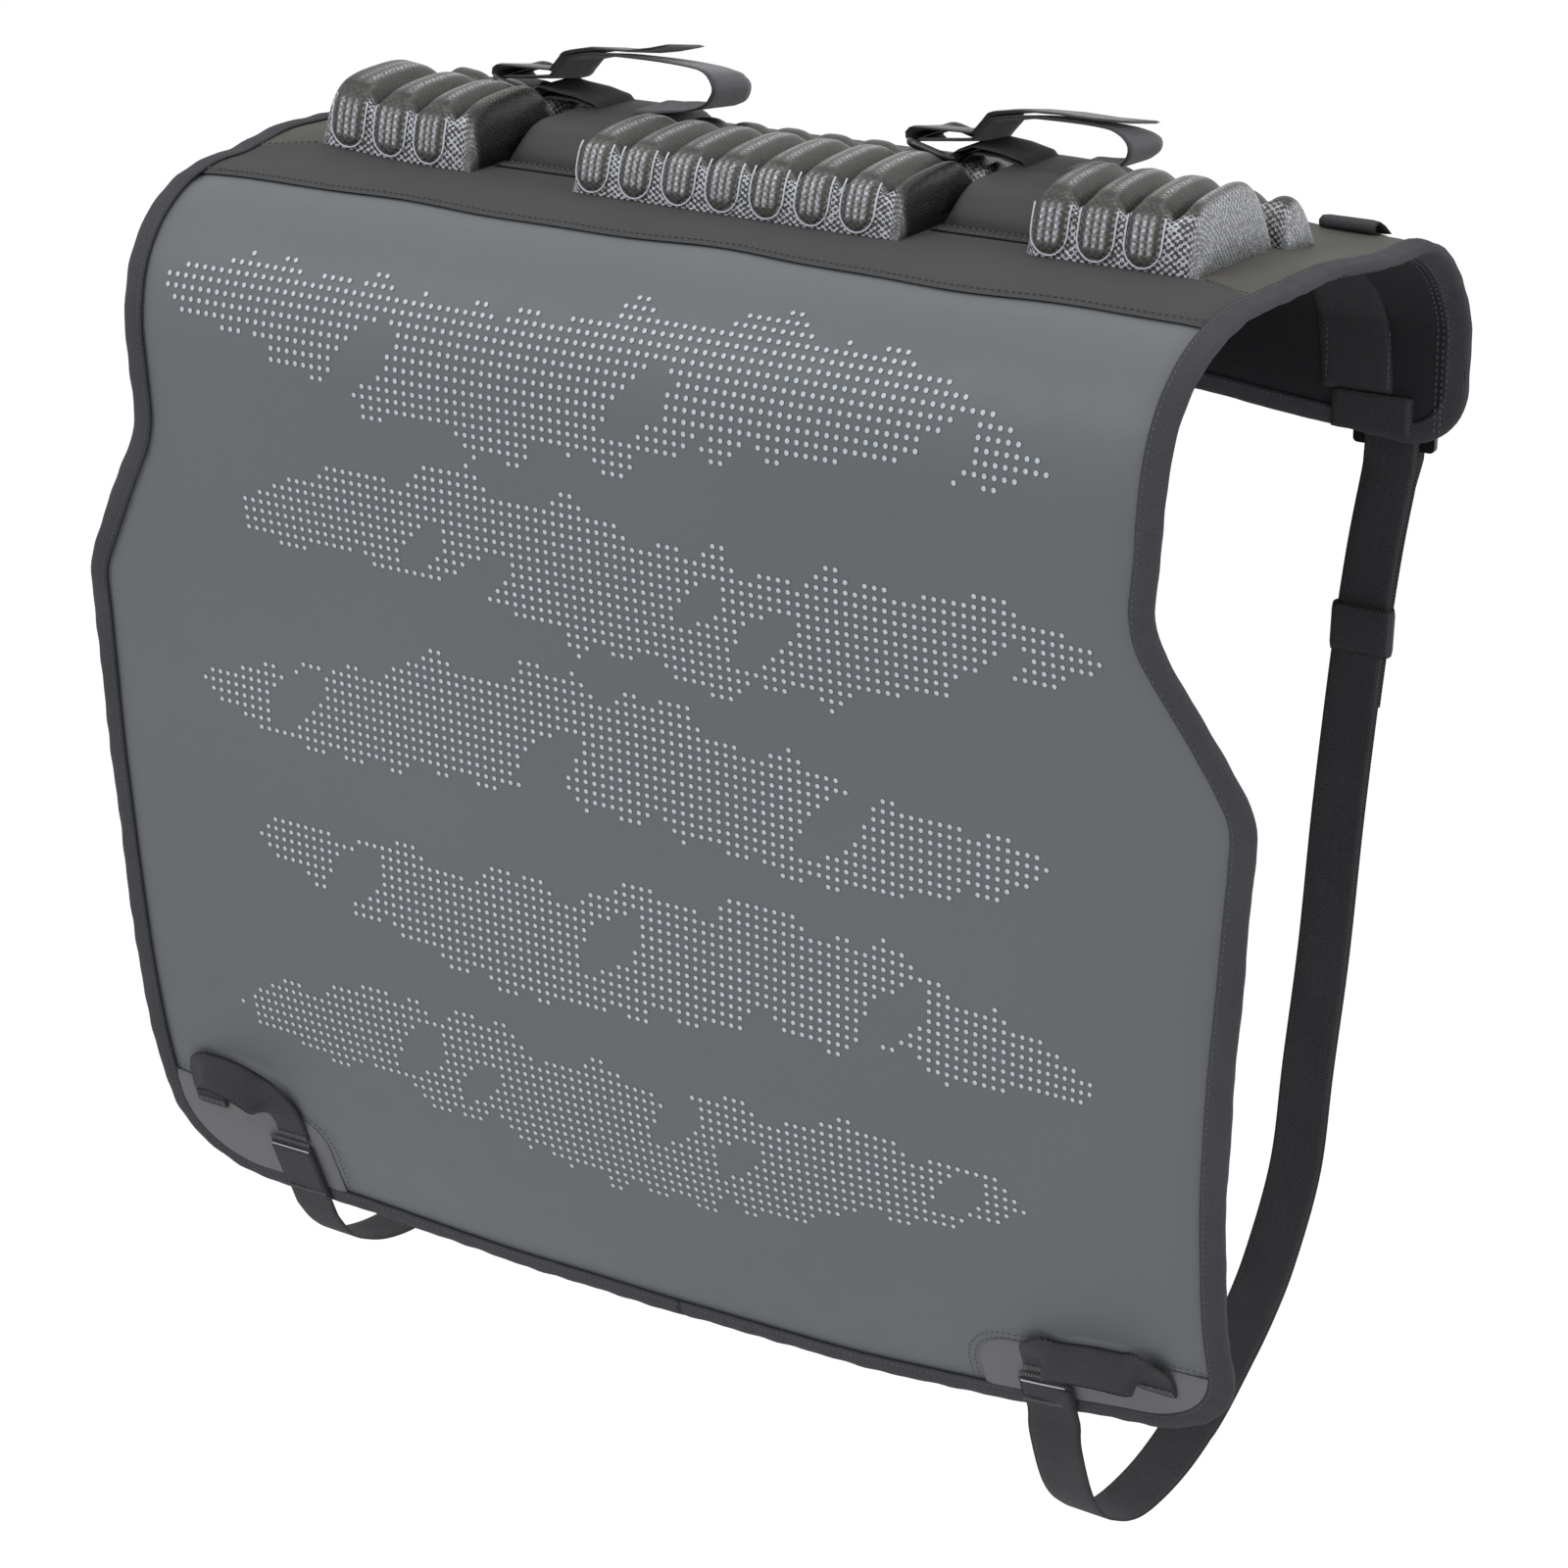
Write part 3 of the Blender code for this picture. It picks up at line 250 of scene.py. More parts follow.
class Hang:
    """The hung line of the pad: turns (across, along, height) of the flat sheet into x, y, z."""

    def __init__(self):
        self.line = self.side_view(REAR_BEND_RADIUS)
        steps = np.diff(self.line, axis=0)
        self.stations = lengths_along(self.line)
        self.length = self.stations[-1]
        tangents = steps / np.linalg.norm(steps, axis=1)[:, None]
        self.tangents = np.vstack([tangents[:1], (tangents[1:] + tangents[:-1]) / 2, tangents[-1:]])
        self.tangents /= np.linalg.norm(self.tangents, axis=1)[:, None]
        flat = np.flatnonzero(np.abs(self.line[:, 1]) < 1e-6)
        self.origin = np.array([(self.line[flat[0], 0] + self.line[flat[-1], 0]) / 2, -THICK])
        self.top_start = self.stations[flat[0]]
        self.top_end = self.stations[flat[-1]]
        soft = self.side_view(SOFT_BEND_RADIUS)
        soft_lengths = lengths_along(soft)
        share = np.clip((self.stations - self.top_start) / (self.length - self.top_start), 0.0, 1.0)
        reach = np.minimum(self.stations, self.top_start) + share * (soft_lengths[-1] - self.top_start)
        self.soft = follow(reach, soft_lengths, soft)

    def side_view(self, rear_radius):
        return fillet_path([
            (FRONT_TUCK, -FRONT_DROP, 0.0),
            (0.0, TUCK_HEIGHT - FRONT_DROP, TUCK_RADIUS),
            (-FRONT_LEAN, 0.0, FRONT_BEND_RADIUS),
            (SADDLE_DEPTH - FRONT_LEAN, 0.0, rear_radius),
            (SADDLE_DEPTH - FRONT_LEAN, -REAR_DROP, 0.0),
        ], math.radians(2.0))

    def relief(self, across, along):
        """Soft waves of the hung cloth along its normal, and its fuller front bend."""
        upper = smooth(along, self.top_start - 0.10, self.top_start)
        wave = (0.0014 * np.sin(9.3 * across + 5.1 * along + 0.6)
                + 0.0010 * np.sin(-13.2 * across + 14.7 * along + 2.1)
                + 0.0006 * np.sin(26.0 * across + 17.0 * along + 4.0))
        full = 0.0065 * band(along, 0.34, 0.46, 0.54, 0.625)
        return wave * (1.0 - 0.75 * upper) + full

    def shift(self, across, along):
        """How far the cloth's edges stand sideways of their plan."""
        left = drift(LEFT_SHIFT, along) * smooth(-across, 0.20, 0.30)
        right = drift(RIGHT_SHIFT, along) * smooth(across, 0.22, 0.32)
        return left + right

    def rise(self, across, along):
        """How far the cloth stands above its plan: low down, at its top's left edge and right rear corner."""
        low = drift(LOW_RISE, across) * (1.0 - smooth(along, 0.0, 0.25))
        left = 0.008 * smooth(-across, 0.19, 0.30) * smooth(along, self.top_start, self.top_start + 0.05)
        rear = smooth(along, self.top_start + 0.08, self.top_end - 0.02)
        rear = rear * (1.0 - 0.6 * smooth(along, self.top_end, self.length))
        return low + left - 0.008 * smooth(across, 0.12, 0.27) * rear

    def level(self, across, along):
        """The place along the cloth where a fitting keeps its planned height."""
        return along - self.rise(across, along)

    def normal(self, along):
        tangent = follow(along, self.stations, self.tangents)
        tangent /= np.linalg.norm(tangent, axis=1)[:, None]
        return np.stack([np.zeros(len(tangent)), -tangent[:, 1], tangent[:, 0]], axis=1)

    def place(self, across, along, height=0.0):
        across, along, height = np.broadcast_arrays(*(np.atleast_1d(np.asarray(v, float))
                                                      for v in (across, along, height)))
        inside = np.clip(along, 0.0, self.length)
        spot = follow(inside, self.stations, self.line)
        soft = follow(inside, self.stations, self.soft)
        spot = spot + (soft - spot) * smooth(across, *SOFT_BEND_SPAN)[:, None]
        tangent = np.where((along < 0.0)[:, None], self.tangents[0], self.tangents[-1])
        spot = spot + tangent * (along - inside)[:, None] - self.origin
        place = np.stack([across + self.shift(across, along), spot[:, 0], spot[:, 1]], axis=1)
        place = place + self.normal(along) * (height + self.relief(across, along))[:, None]
        place[:, 2] += self.rise(across, along)
        return place


hang = Hang()
SEAM = hang.top_start - SEAM_BEFORE_TOP


def edge_outline():
    half = [
        (0.0, -FRONT_EDGE_SAG, 0.0),
        (PANEL_WIDTH / 4, -FRONT_EDGE_SAG * 0.75, PANEL_WIDTH),
        (PANEL_WIDTH / 2, 0.0, FRONT_CORNER_RADIUS),
        (PANEL_WIDTH / 2, SHOULDER_LOW, SHOULDER_RADIUS),
        (NECK_WIDTH / 2, SHOULDER_HIGH, SHOULDER_RADIUS),
        (NECK_WIDTH / 2, hang.length, REAR_CORNER_RADIUS),
        (NECK_WIDTH / 4, hang.length - REAR_EDGE_RISE * 0.75, PANEL_WIDTH),
        (0.0, hang.length - REAR_EDGE_RISE, 0.0),
    ]
    right = fillet_path(half, math.radians(4.0))
    left = right[-2:0:-1] * (-1.0, 1.0)
    return resample(np.vstack([right, left]), 0.004, closed=True)


def inward(outline):
    """Unit normals into a counterclockwise outline."""
    tangent = np.roll(outline, -1, axis=0) - np.roll(outline, 1, axis=0)
    tangent /= np.linalg.norm(tangent, axis=1)[:, None]
    return np.stack([-tangent[:, 1], tangent[:, 0]], axis=1)


def inside_polygon(points, polygon):
    """Which points lie inside, by counting the edges to one side."""
    found = np.zeros(len(points), bool)
    x, y = points[:, 0], points[:, 1]
    for (ax, ay), (bx, by) in zip(polygon, np.roll(polygon, -1, axis=0)):
        if ay != by:
            found ^= ((ay > y) != (by > y)) & (x < (bx - ax) * (y - ay) / (by - ay) + ax)
    return found


def distance_to(points, polygon):
    """How far each point is from a closed line."""
    best = np.full(len(points), 9.0)
    for a, b in zip(polygon, np.roll(polygon, -1, axis=0)):
        step = b - a
        share = np.clip(((points - a) @ step) / max(step @ step, 1e-12), 0.0, 1.0)
        best = np.minimum(best, np.linalg.norm(points - a - share[:, None] * step, axis=1))
    return best


OUTLINE = edge_outline()
INWARD = inward(OUTLINE)


def linked(name, data):
    """A new object in the scene."""
    obj = bpy.data.objects.new(name, data)
    bpy.context.scene.collection.objects.link(obj)
    return obj


def new_object(name, vertices, faces, look, uv=None, close=False):
    mesh = bpy.data.meshes.new(name)
    mesh.from_pydata([tuple(map(float, v)) for v in vertices], [], [tuple(map(int, f)) for f in faces])
    mesh.update()
    if uv is not None:
        corner = np.empty(len(mesh.loops), np.int32)
        mesh.loops.foreach_get("vertex_index", corner)
        mesh.uv_layers.new(name="Flat").data.foreach_set("uv", np.asarray(uv, np.float32)[corner].ravel())
    if close:
        shape = bmesh.new()
        shape.from_mesh(mesh)
        bmesh.ops.recalc_face_normals(shape, faces=shape.faces)
        shape.to_mesh(mesh)
        shape.free()
    mesh.shade_smooth()
    mesh.materials.append(LOOKS[look])
    obj = linked(name, mesh)
    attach(obj, "root")
    return obj


def add_tone(obj, name, values):
    obj.data.attributes.new(name, "FLOAT", "POINT").data.foreach_set("value", np.asarray(values, np.float32))


def region(polygons, cell):
    """Flat triangles that fill what all the polygons share."""
    low = np.max([polygon.min(axis=0) for polygon in polygons], axis=0)
    high = np.min([polygon.max(axis=0) for polygon in polygons], axis=0)
    grid = lattice(np.arange(low[0], high[0], cell), np.arange(low[1], high[1], cell))
    keep = np.ones(len(grid), bool)
    for polygon in polygons:
        keep &= inside_polygon(grid, polygon)
    grid = grid[keep]
    for polygon in polygons:
        grid = grid[distance_to(grid, polygon) > 0.5 * cell]
    points = list(grid)
    edges = []
    for polygon in polygons:
        start = len(points)
        points += list(polygon)
        edges += [(start + i, start + (i + 1) % len(polygon)) for i in range(len(polygon))]
    found = delaunay_2d_cdt([Vector(p) for p in points], edges, [], 0, 1e-6)
    flat = np.array([tuple(v) for v in found[0]])
    faces = np.array([f for f in found[2] if len(f) == 3])
    middle = flat[faces].mean(axis=1)
    keep = np.ones(len(faces), bool)
    for polygon in polygons:
        keep &= inside_polygon(middle, polygon)
    faces = faces[keep]
    used = np.unique(faces)
    index = np.full(len(flat), -1)
    index[used] = np.arange(len(used))
    flat, faces = flat[used], index[faces]
    a, b, c = (flat[faces[:, k]] for k in range(3))
    turn = (b[:, 0] - a[:, 0]) * (c[:, 1] - a[:, 1]) - (b[:, 1] - a[:, 1]) * (c[:, 0] - a[:, 0])
    faces[turn < 0] = faces[turn < 0][:, ::-1]
    return flat, faces, float(np.abs(turn).sum() / 2)


def box_window(low_x, high_x, low_s, high_s, step=0.01):
    """A window whose lower and upper limits are functions of x."""
    xs = np.arange(low_x, high_x + step / 2, step)
    low, high = (np.stack([xs, limit(xs)], axis=1) for limit in (low_s, high_s))
    return np.vstack([low, high[::-1]])


def level_at(height):
    return lambda x: np.full(len(x), height)


def lattice(xs, ys):
    """All points of a grid, one a row."""
    return np.stack(np.meshgrid(xs, ys), axis=-1).reshape(-1, 2)


def grid_faces(rows, columns, closed_rows=False, closed_columns=True):
    """Quads between points that lie row after row."""
    return [(i * columns + k, i * columns + (k + 1) % columns,
             (i + 1) % rows * columns + (k + 1) % columns, (i + 1) % rows * columns + k)
            for i in range(rows if closed_rows else rows - 1)
            for k in range(columns if closed_columns else columns - 1)]


def end_caps(rows, columns):
    return [tuple(range(columns)), tuple(range((rows - 1) * columns, rows * columns))]


def tube(name, path, radius, look, sides, closed=False):
    """A round thread or wire along a path."""
    path = np.asarray(path, float)
    ahead = np.roll(path, -1, axis=0) - np.roll(path, 1, axis=0) if closed else np.gradient(path, axis=0)
    ahead /= np.linalg.norm(ahead, axis=1)[:, None]
    helper = np.where(np.abs(ahead[:, 2:]) > 0.9, (1.0, 0.0, 0.0), (0.0, 0.0, 1.0))
    side = np.cross(ahead, helper)
    side /= np.linalg.norm(side, axis=1)[:, None]
    up = np.cross(side, ahead)
    angles = np.linspace(0.0, 2 * np.pi, sides, endpoint=False)
    rings = (path[:, None] + radius * (np.cos(angles)[None, :, None] * side[:, None]
                                       + np.sin(angles)[None, :, None] * up[:, None]))
    faces = grid_faces(len(path), sides, closed_rows=closed)
    if not closed:
        faces += end_caps(len(path), sides)
    return new_object(name, rings.reshape(-1, 3), faces, look, close=True)


def stitches(name, runs, look, radius=THREAD_RADIUS):
    """Single stitches along lines on the cloth. Each run is its points and their normals."""
    quarters = (0.0, 0.5 * np.pi, np.pi, 1.5 * np.pi)
    pattern = []
    for k in range(4):
        m = (k + 1) % 4
        pattern += [(0, 1 + m, 1 + k), (1 + k, 1 + m, 5 + m, 5 + k), (5 + k, 5 + m, 9)]
    vertices = []
    for path, normals in runs:
        lengths = lengths_along(path)
        marks = np.arange(STITCH_PITCH / 2, lengths[-1], STITCH_PITCH)
        spot, up = follow(marks, lengths, path), follow(marks, lengths, normals)
        ahead = follow(marks + 0.0005, lengths, path) - follow(marks - 0.0005, lengths, path)
        ahead /= np.linalg.norm(ahead, axis=1)[:, None]
        side = np.cross(ahead, up)
        rows = [spot + ahead * STITCH_LENGTH * share + radius * (np.cos(angle) * side + np.sin(angle) * up)
                for share in (-0.25, 0.25) for angle in quarters]
        ends = [spot + ahead * STITCH_LENGTH * share - up * radius for share in (-0.5, 0.5)]
        vertices.append(np.stack([ends[0], *rows, ends[1]], axis=1).reshape(-1, 3))
    vertices = np.vstack(vertices)
    faces = [tuple(start + i for i in face) for start in range(0, len(vertices), 10) for face in pattern]
    return new_object(name, vertices, faces, look, close=True)


def on_sheet(flat, height):
    return hang.place(flat[:, 0], flat[:, 1], height)


def surface_run(flat_points, height, spacing=0.002, closed=False):
    """A line on the sheet as 3D points and normals."""
    flat = resample(flat_points, spacing, closed)
    if closed:
        flat = np.vstack([flat, flat[:1]])
    return on_sheet(flat, height), hang.normal(flat[:, 1])


def ribbon(name, path, across, width, thickness, look="webbing", columns=9):
    """Webbing with rounded edges. across is the direction of its width, one vector or one per point."""
    path = np.asarray(path, float)
    across = np.broadcast_to(np.asarray(across, float), path.shape)
    width = np.broadcast_to(np.asarray(width, float), len(path))
    ahead = np.gradient(path, axis=0)
    ahead /= np.linalg.norm(ahead, axis=1)[:, None]
    across = across - ahead * (across * ahead).sum(axis=1)[:, None]
    across /= np.linalg.norm(across, axis=1)[:, None]
    up = np.cross(ahead, across)
    shares = np.linspace(-1.0, 1.0, columns)
    edge = np.sqrt(np.clip(1.0 - np.abs(shares) ** 14, 0.0, 1.0)) * 0.5
    section = [(u / 2, e * thickness) for u, e in zip(shares, edge)]
    section += [(u / 2, -e * thickness) for u, e in zip(shares[-2:0:-1], edge[-2:0:-1])]
    lengths = lengths_along(path)
    vertices, uv = [], []
    for i in range(len(path)):
        for u, h in section:
            vertices.append(path[i] + across[i] * u * width[i] + up[i] * h)
            uv.append((u * width[i], lengths[i]))
    faces = grid_faces(len(path), len(section)) + end_caps(len(path), len(section))
    return new_object(name, vertices, faces, look, uv=uv, close=True)


class Look:
    """A procedural material built from nodes."""

    def __init__(self, name, color, roughness, sheen=0.0):
        self.material = bpy.data.materials.new(name)
        self.material.use_nodes = True
        self.tree = self.material.node_tree
        self.shader = self.tree.nodes["Principled BSDF"]
        self.color = color
        self.put("Base Color", (*color, 1.0))
        self.put("Roughness", roughness)
        if sheen:
            self.put("Sheen Weight", sheen)
            self.put("Sheen Roughness", 0.5)

    def put(self, name, value):
        self.feed(self.shader.inputs[name], value)

    def feed(self, socket, value):
        if isinstance(value, bpy.types.NodeSocket):
            self.tree.links.new(value, socket)
        else:
            socket.default_value = value

    def node(self, kind, inputs=(), **settings):
        made = self.tree.nodes.new(kind)
        for key, value in settings.items():
            setattr(made, key, value)
        for key, value in dict(inputs).items():
            self.feed(made.inputs[key], value)
        return made

    def math(self, operation, a, b=0.0, c=0.0, clamp=False):
        made = self.node("ShaderNodeMath", operation=operation, use_clamp=clamp)
        for socket, value in zip(made.inputs, (a, b, c)):
            self.feed(socket, value)
        return made.outputs[0]

    def total(self, *parts, base=0.0):
        """Sum of (socket, share) pairs."""
        for value, share in parts:
            base = self.math("MULTIPLY_ADD", value, share, base)
        return base

    def weave(self, u, v, pitch):
        return self.math("MULTIPLY", self.wave(u, pitch), self.wave(v, pitch))

    def attribute(self, name):
        return self.node("ShaderNodeAttribute", attribute_name=name).outputs["Fac"]

    def place(self):
        return self.node("ShaderNodeTexCoord").outputs["Object"]

    def flat(self):
        """The two flat coordinates of the cloth, in metres."""
        uv = self.node("ShaderNodeUVMap", uv_map="Flat").outputs[0]
        split = self.node("ShaderNodeSeparateXYZ", {"Vector": uv})
        return split.outputs[0], split.outputs[1]

    def wave(self, coordinate, pitch):
        """A sine from -1 to 1 over a length."""
        return self.math("SINE", self.math("MULTIPLY", coordinate, 2 * math.pi / pitch))

    def noise(self, scale, detail=2.0, rough=0.5):
        inputs = {"Scale": scale, "Detail": detail, "Roughness": rough, "Vector": self.place()}
        return self.node("ShaderNodeTexNoise", inputs).outputs["Fac"]

    def cells(self, scale):
        return self.node("ShaderNodeTexVoronoi", {"Scale": scale, "Vector": self.place()}).outputs["Distance"]

    def span(self, value, low, high, to_low=0.0, to_high=1.0):
        made = self.node("ShaderNodeMapRange", {"Value": value, "From Min": low, "From Max": high,
                                               "To Min": to_low, "To Max": to_high})
        return made.outputs[0]

    def mix(self, factor, a, b):
        made = self.node("ShaderNodeMix", data_type="RGBA")
        self.feed(made.inputs["Factor"], factor)
        self.feed(made.inputs[6], (*a, 1.0) if isinstance(a, tuple) and len(a) == 3 else a)
        self.feed(made.inputs[7], (*b, 1.0) if isinstance(b, tuple) and len(b) == 3 else b)
        return made.outputs[2]

    def shade(self, factor, low, high):
        """The base colour made darker and lighter by a factor from 0 to 1."""
        dark = tuple(c * low for c in self.color)
        light = tuple(min(1.0, c * high) for c in self.color)
        self.put("Base Color", self.mix(factor, dark, light))

    def bump(self, *layers):
        """Each layer is (height socket, depth in metres)."""
        normal = None
        for height, depth in layers:
            made = self.node("ShaderNodeBump", {"Height": height, "Distance": depth, "Strength": 1.0})
            if normal:
                self.feed(made.inputs["Normal"], normal)
            normal = made.outputs[0]
        self.put("Normal", normal)


def coated_cloth(name="coated cloth", color=(0.124, 0.133, 0.141)):
    look = Look(name, color, 0.50)
    u, v = look.flat()
    weave = look.weave(u, v, 0.0009)
    cloud = look.noise(5.0, 3.0)
    grain = look.noise(900.0, 1.0)
    look.shade(look.total((cloud, 0.8), (grain, 0.2)), 0.90, 1.10)
    look.put("Roughness", look.span(look.noise(40.0, 3.0), 0.3, 0.7, 0.46, 0.56))
    look.put("Specular IOR Level", 0.35)
    look.bump((cloud, 0.0006), (look.noise(60.0, 2.0), 0.00012), (weave, 0.00002), (grain, 0.00002))
    return look.material


def plain_cloth(name, color, roughness, pitch=0.0008, contrast=0.12):
    look = Look(name, color, roughness)
    look.put("Specular IOR Level", 0.18)
    u, v = look.flat()
    over = look.weave(u, v, pitch)
    look.shade(look.total((over, 0.25), base=look.noise(9.0, 3.0)), 1.0 - contrast, 1.0 + contrast)
    look.bump((look.noise(30.0, 3.0), 0.0004), (over, 0.00005))
    return look.material


def grid_cloth():
    look = Look("grid cloth", (0.088, 0.086, 0.074), 0.66)
    look.put("Specular IOR Level", 0.22)
    u, v = look.flat()
    lines = look.math("MAXIMUM", *(look.math("POWER", look.math("ABSOLUTE", look.wave(c, 0.0044)), 6.0)
                                   for c in (u, v)))
    fine = look.weave(u, v, 0.0008)
    cloud = look.noise(8.0, 3.0)
    look.shade(look.total((cloud, 0.6), (lines, -0.45), base=0.45), 0.72, 1.16)
    look.bump((cloud, 0.0004), (lines, -0.00010), (fine, 0.00003))
    return look.material


def tape_cloth():
    look = Look("edge tape", (0.050, 0.048, 0.054), 0.82)
    look.put("Specular IOR Level", 0.2)
    u, v = look.flat()
    ribs = look.wave(v, 0.0011)
    along = look.wave(u, 0.0016)
    speck = look.noise(700.0, 2.0)
    look.shade(look.total((look.noise(14.0, 3.0), 0.7), (speck, 0.5), (ribs, 0.12)), 0.60, 1.45)
    look.bump((look.noise(45.0, 3.0), 0.0006), (ribs, 0.00008), (along, 0.00003), (speck, 0.00006))
    return look.material


def webbing_cloth():
    look = Look("webbing", (0.043, 0.041, 0.045), 0.74)
    look.put("Specular IOR Level", 0.25)
    u, v = look.flat()
    chevron = look.wave(look.math("ADD", v, look.math("PINGPONG", u, 0.0028)), 0.0022)
    ribs = look.wave(u, 0.0014)
    look.shade(look.total((chevron, 0.18), base=look.noise(25.0, 3.0)), 0.72, 1.34)
    look.bump((look.noise(40.0, 2.0), 0.0003), (chevron, 0.00009), (ribs, 0.00008))
    return look.material


def hook_loop_cloth():
    look = Look("hook and loop", (0.048, 0.045, 0.052), 0.92, sheen=0.35)
    fuzz = look.noise(1500.0, 4.0, 0.7)
    tufts = look.cells(900.0)
    look.shade(look.total((fuzz, 0.8), (tufts, 0.5)), 0.45, 1.8)
    look.bump((look.noise(60.0, 2.0), 0.0004), (fuzz, 0.0003), (tufts, 0.0002))
    return look.material


def mesh_cloth():
    """Open mesh of pale threads over black: the tones on the rest set how pale and how open it is. The pale tone
    also holds painted highlights and painted shade.
    """
    look = Look("spacer mesh", (0.05, 0.05, 0.05), 0.42)
    u, v = look.flat()
    pale = look.attribute("pale")
    mesh = look.attribute("mesh")
    gloss = look.attribute("gloss")
    rough = look.total((look.noise(330.0, 3.0, 0.7), 3.4), base=-1.7)
    cell = look.math("ADD", look.math("MULTIPLY", look.wave(u, 0.0042), look.wave(v, 0.0032)), rough)
    hole = look.span(cell, -0.16, 0.16)
    fleck = look.span(look.noise(1300.0, 1.0), 0.35, 0.65, 0.45, 1.35)
    open_share = look.math("SUBTRACT", 1.0, look.math("MULTIPLY", mesh, hole))
    base = look.math("MULTIPLY", look.math("MULTIPLY", pale, open_share), fleck, clamp=True)
    dark = look.mix(look.span(base, 0.0, 0.12), (0.010, 0.010, 0.010), (0.095, 0.092, 0.080))
    look.put("Base Color", look.mix(look.span(base, 0.12, 1.0), dark, (0.66, 0.67, 0.74)))
    look.put("Roughness", look.math("SUBTRACT", 0.50, look.math("MULTIPLY", gloss, 0.24)))
    look.put("Specular IOR Level", 0.5)
    look.bump((look.noise(90.0, 2.0), 0.0003), (look.math("MULTIPLY", hole, mesh), -0.00035))
    return look.material


def smooth_cloth():
    look = Look("smooth cloth", (0.056, 0.054, 0.054), 0.62)
    look.put("Specular IOR Level", 0.25)
    over = look.noise(1200.0, 2.0)
    cloud = look.noise(18.0, 3.0)
    look.shade(look.total((over, 0.3), (cloud, 0.7)), 0.85, 1.15)
    look.bump((cloud, 0.0008), (over, 0.00005))
    return look.material


def moulded_plastic():
    look = Look("moulded plastic", (0.012, 0.012, 0.013), 0.24)
    scuff = look.noise(160.0, 4.0, 0.6)
    look.shade(scuff, 0.8, 1.5)
    look.put("Roughness", look.span(scuff, 0.3, 0.7, 0.18, 0.34))
    look.bump((scuff, 0.00008),)
    return look.material


def thread_look(name, color):
    look = Look(name, color, 0.70, sheen=0.2)
    twist = look.noise(2400.0, 1.0)
    look.shade(twist, 0.7, 1.4)
    look.bump((twist, 0.0001),)
    return look.material


def print_ink():
    look = Look("pale ink", (0.50, 0.54, 0.58), 0.52)
    cloud = look.noise(30.0, 2.0)
    look.shade(cloud, 0.90, 1.08)
    look.bump((look.noise(900.0, 1.0), 0.00002),)
    return look.material


def foam_look():
    look = Look("closed foam", (0.02, 0.02, 0.022), 0.95)
    pores = look.cells(700.0)
    look.shade(pores, 0.6, 1.5)
    look.bump((pores, 0.0002),)
    return look.material


LOOKS = {
    "tarpaulin": coated_cloth(),
    "patch": coated_cloth("patch cloth", (0.132, 0.127, 0.133)),
    "strip": plain_cloth("strip cloth", (0.066, 0.066, 0.065), 0.85),
    "grid": grid_cloth(),
    "tape": tape_cloth(),
    "lining": plain_cloth("lining cloth", (0.026, 0.025, 0.028), 0.78, pitch=0.0012, contrast=0.2),
    "mesh": mesh_cloth(),
    "smooth": smooth_cloth(),
    "hook": hook_loop_cloth(),
    "webbing": webbing_cloth(),
    "plastic": moulded_plastic(),
    "thread": thread_look("dark thread", (0.030, 0.029, 0.031)),
    "pale_thread": thread_look("pale thread", (0.56, 0.57, 0.62)),
    "grey_thread": thread_look("grey thread", (0.085, 0.083, 0.088)),
    "ink": print_ink(),
    "foam": foam_look(),
}


def seam_line(x):
    """The seam lies a little lower than in the plan, more so to the right, and waves."""
    low = 0.0075 + 0.0030 * smooth(x, 0.08, 0.22) - 0.0020 * bell(x, 0.03, 0.05)
    return SEAM - low + 0.0012 * np.sin(31.0 * x + 0.5) + 0.0007 * np.sin(67.0 * x)


def strip_line(x):
    """The strip's rear edge: along the rests' fronts, back to the cradles, and forward at both ends."""
    ends = 0.016 * smooth(abs(x), 0.252, 0.292)
    return hang.top_start + CRADLE_START - 0.001 - 0.030 * smooth(abs(x), 0.175, 0.252) - ends


def add_skins():
    inner = OUTLINE + INWARD * 0.0012
    wide = PANEL_WIDTH
    below, above = level_at(-wide), level_at(hang.length + wide)
    skins = (
        ("front_cloth", "front_skin", "tarpaulin", "tarpaulin", below, lambda x: seam_line(x) + 0.004, 0.006),
        ("strip_cloth", "top_strip", "strip", "matte_cloth", seam_line, lambda x: strip_line(x) + 0.003, 0.004),
        ("panel_cloth", "top_panel", "grid", "grid_cloth", strip_line, above, 0.006),
    )
    for name, node, look, slot, low, high, cell in skins:
        window = box_window(-wide, wide, low, high)
        flat, faces, area = region([inner, window], cell)
        x, s = flat.T
        edge = distance_to(flat, OUTLINE)
        height = -0.0012 * np.exp(-np.maximum(edge - TAPE_WIDTH, 0.0) / 0.008)
        if node == "top_strip":
            height = height + 0.0009 - 0.0009 * smooth(s - seam_line(x), 0.004, 0.0)
        if node == "top_panel":
            height = height + 0.0012 * smooth(s - strip_line(x), 0.0, 0.003)
        if node == "front_skin":
            height = height - 0.0012 * smooth(s - seam_line(x), -0.012, 0.0)
        obj = new_object(name, hang.place(x, s, height), faces, look, uv=flat)
        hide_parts(node)


def pinch(edge):
    """How much higher the underside stands near the edge, where the tape pulls the skins together."""
    return 0.0044 * (1.0 - smooth(edge, 0.0, 0.020))


def slab(flat, faces, top, bottom):
    """A closed body between two heights over flat triangles."""
    n = len(flat)
    edges = dict.fromkeys(pair for a, b, c in faces for pair in ((a, b), (b, c), (c, a)))
    sides = [(b, a, a + n, b + n) for a, b in edges if (b, a) not in edges]
    under = [(c + n, b + n, a + n) for a, b, c in faces]
    points = np.vstack([on_sheet(flat, top), on_sheet(flat, bottom)])
    return points, [tuple(f) for f in faces] + under + sides


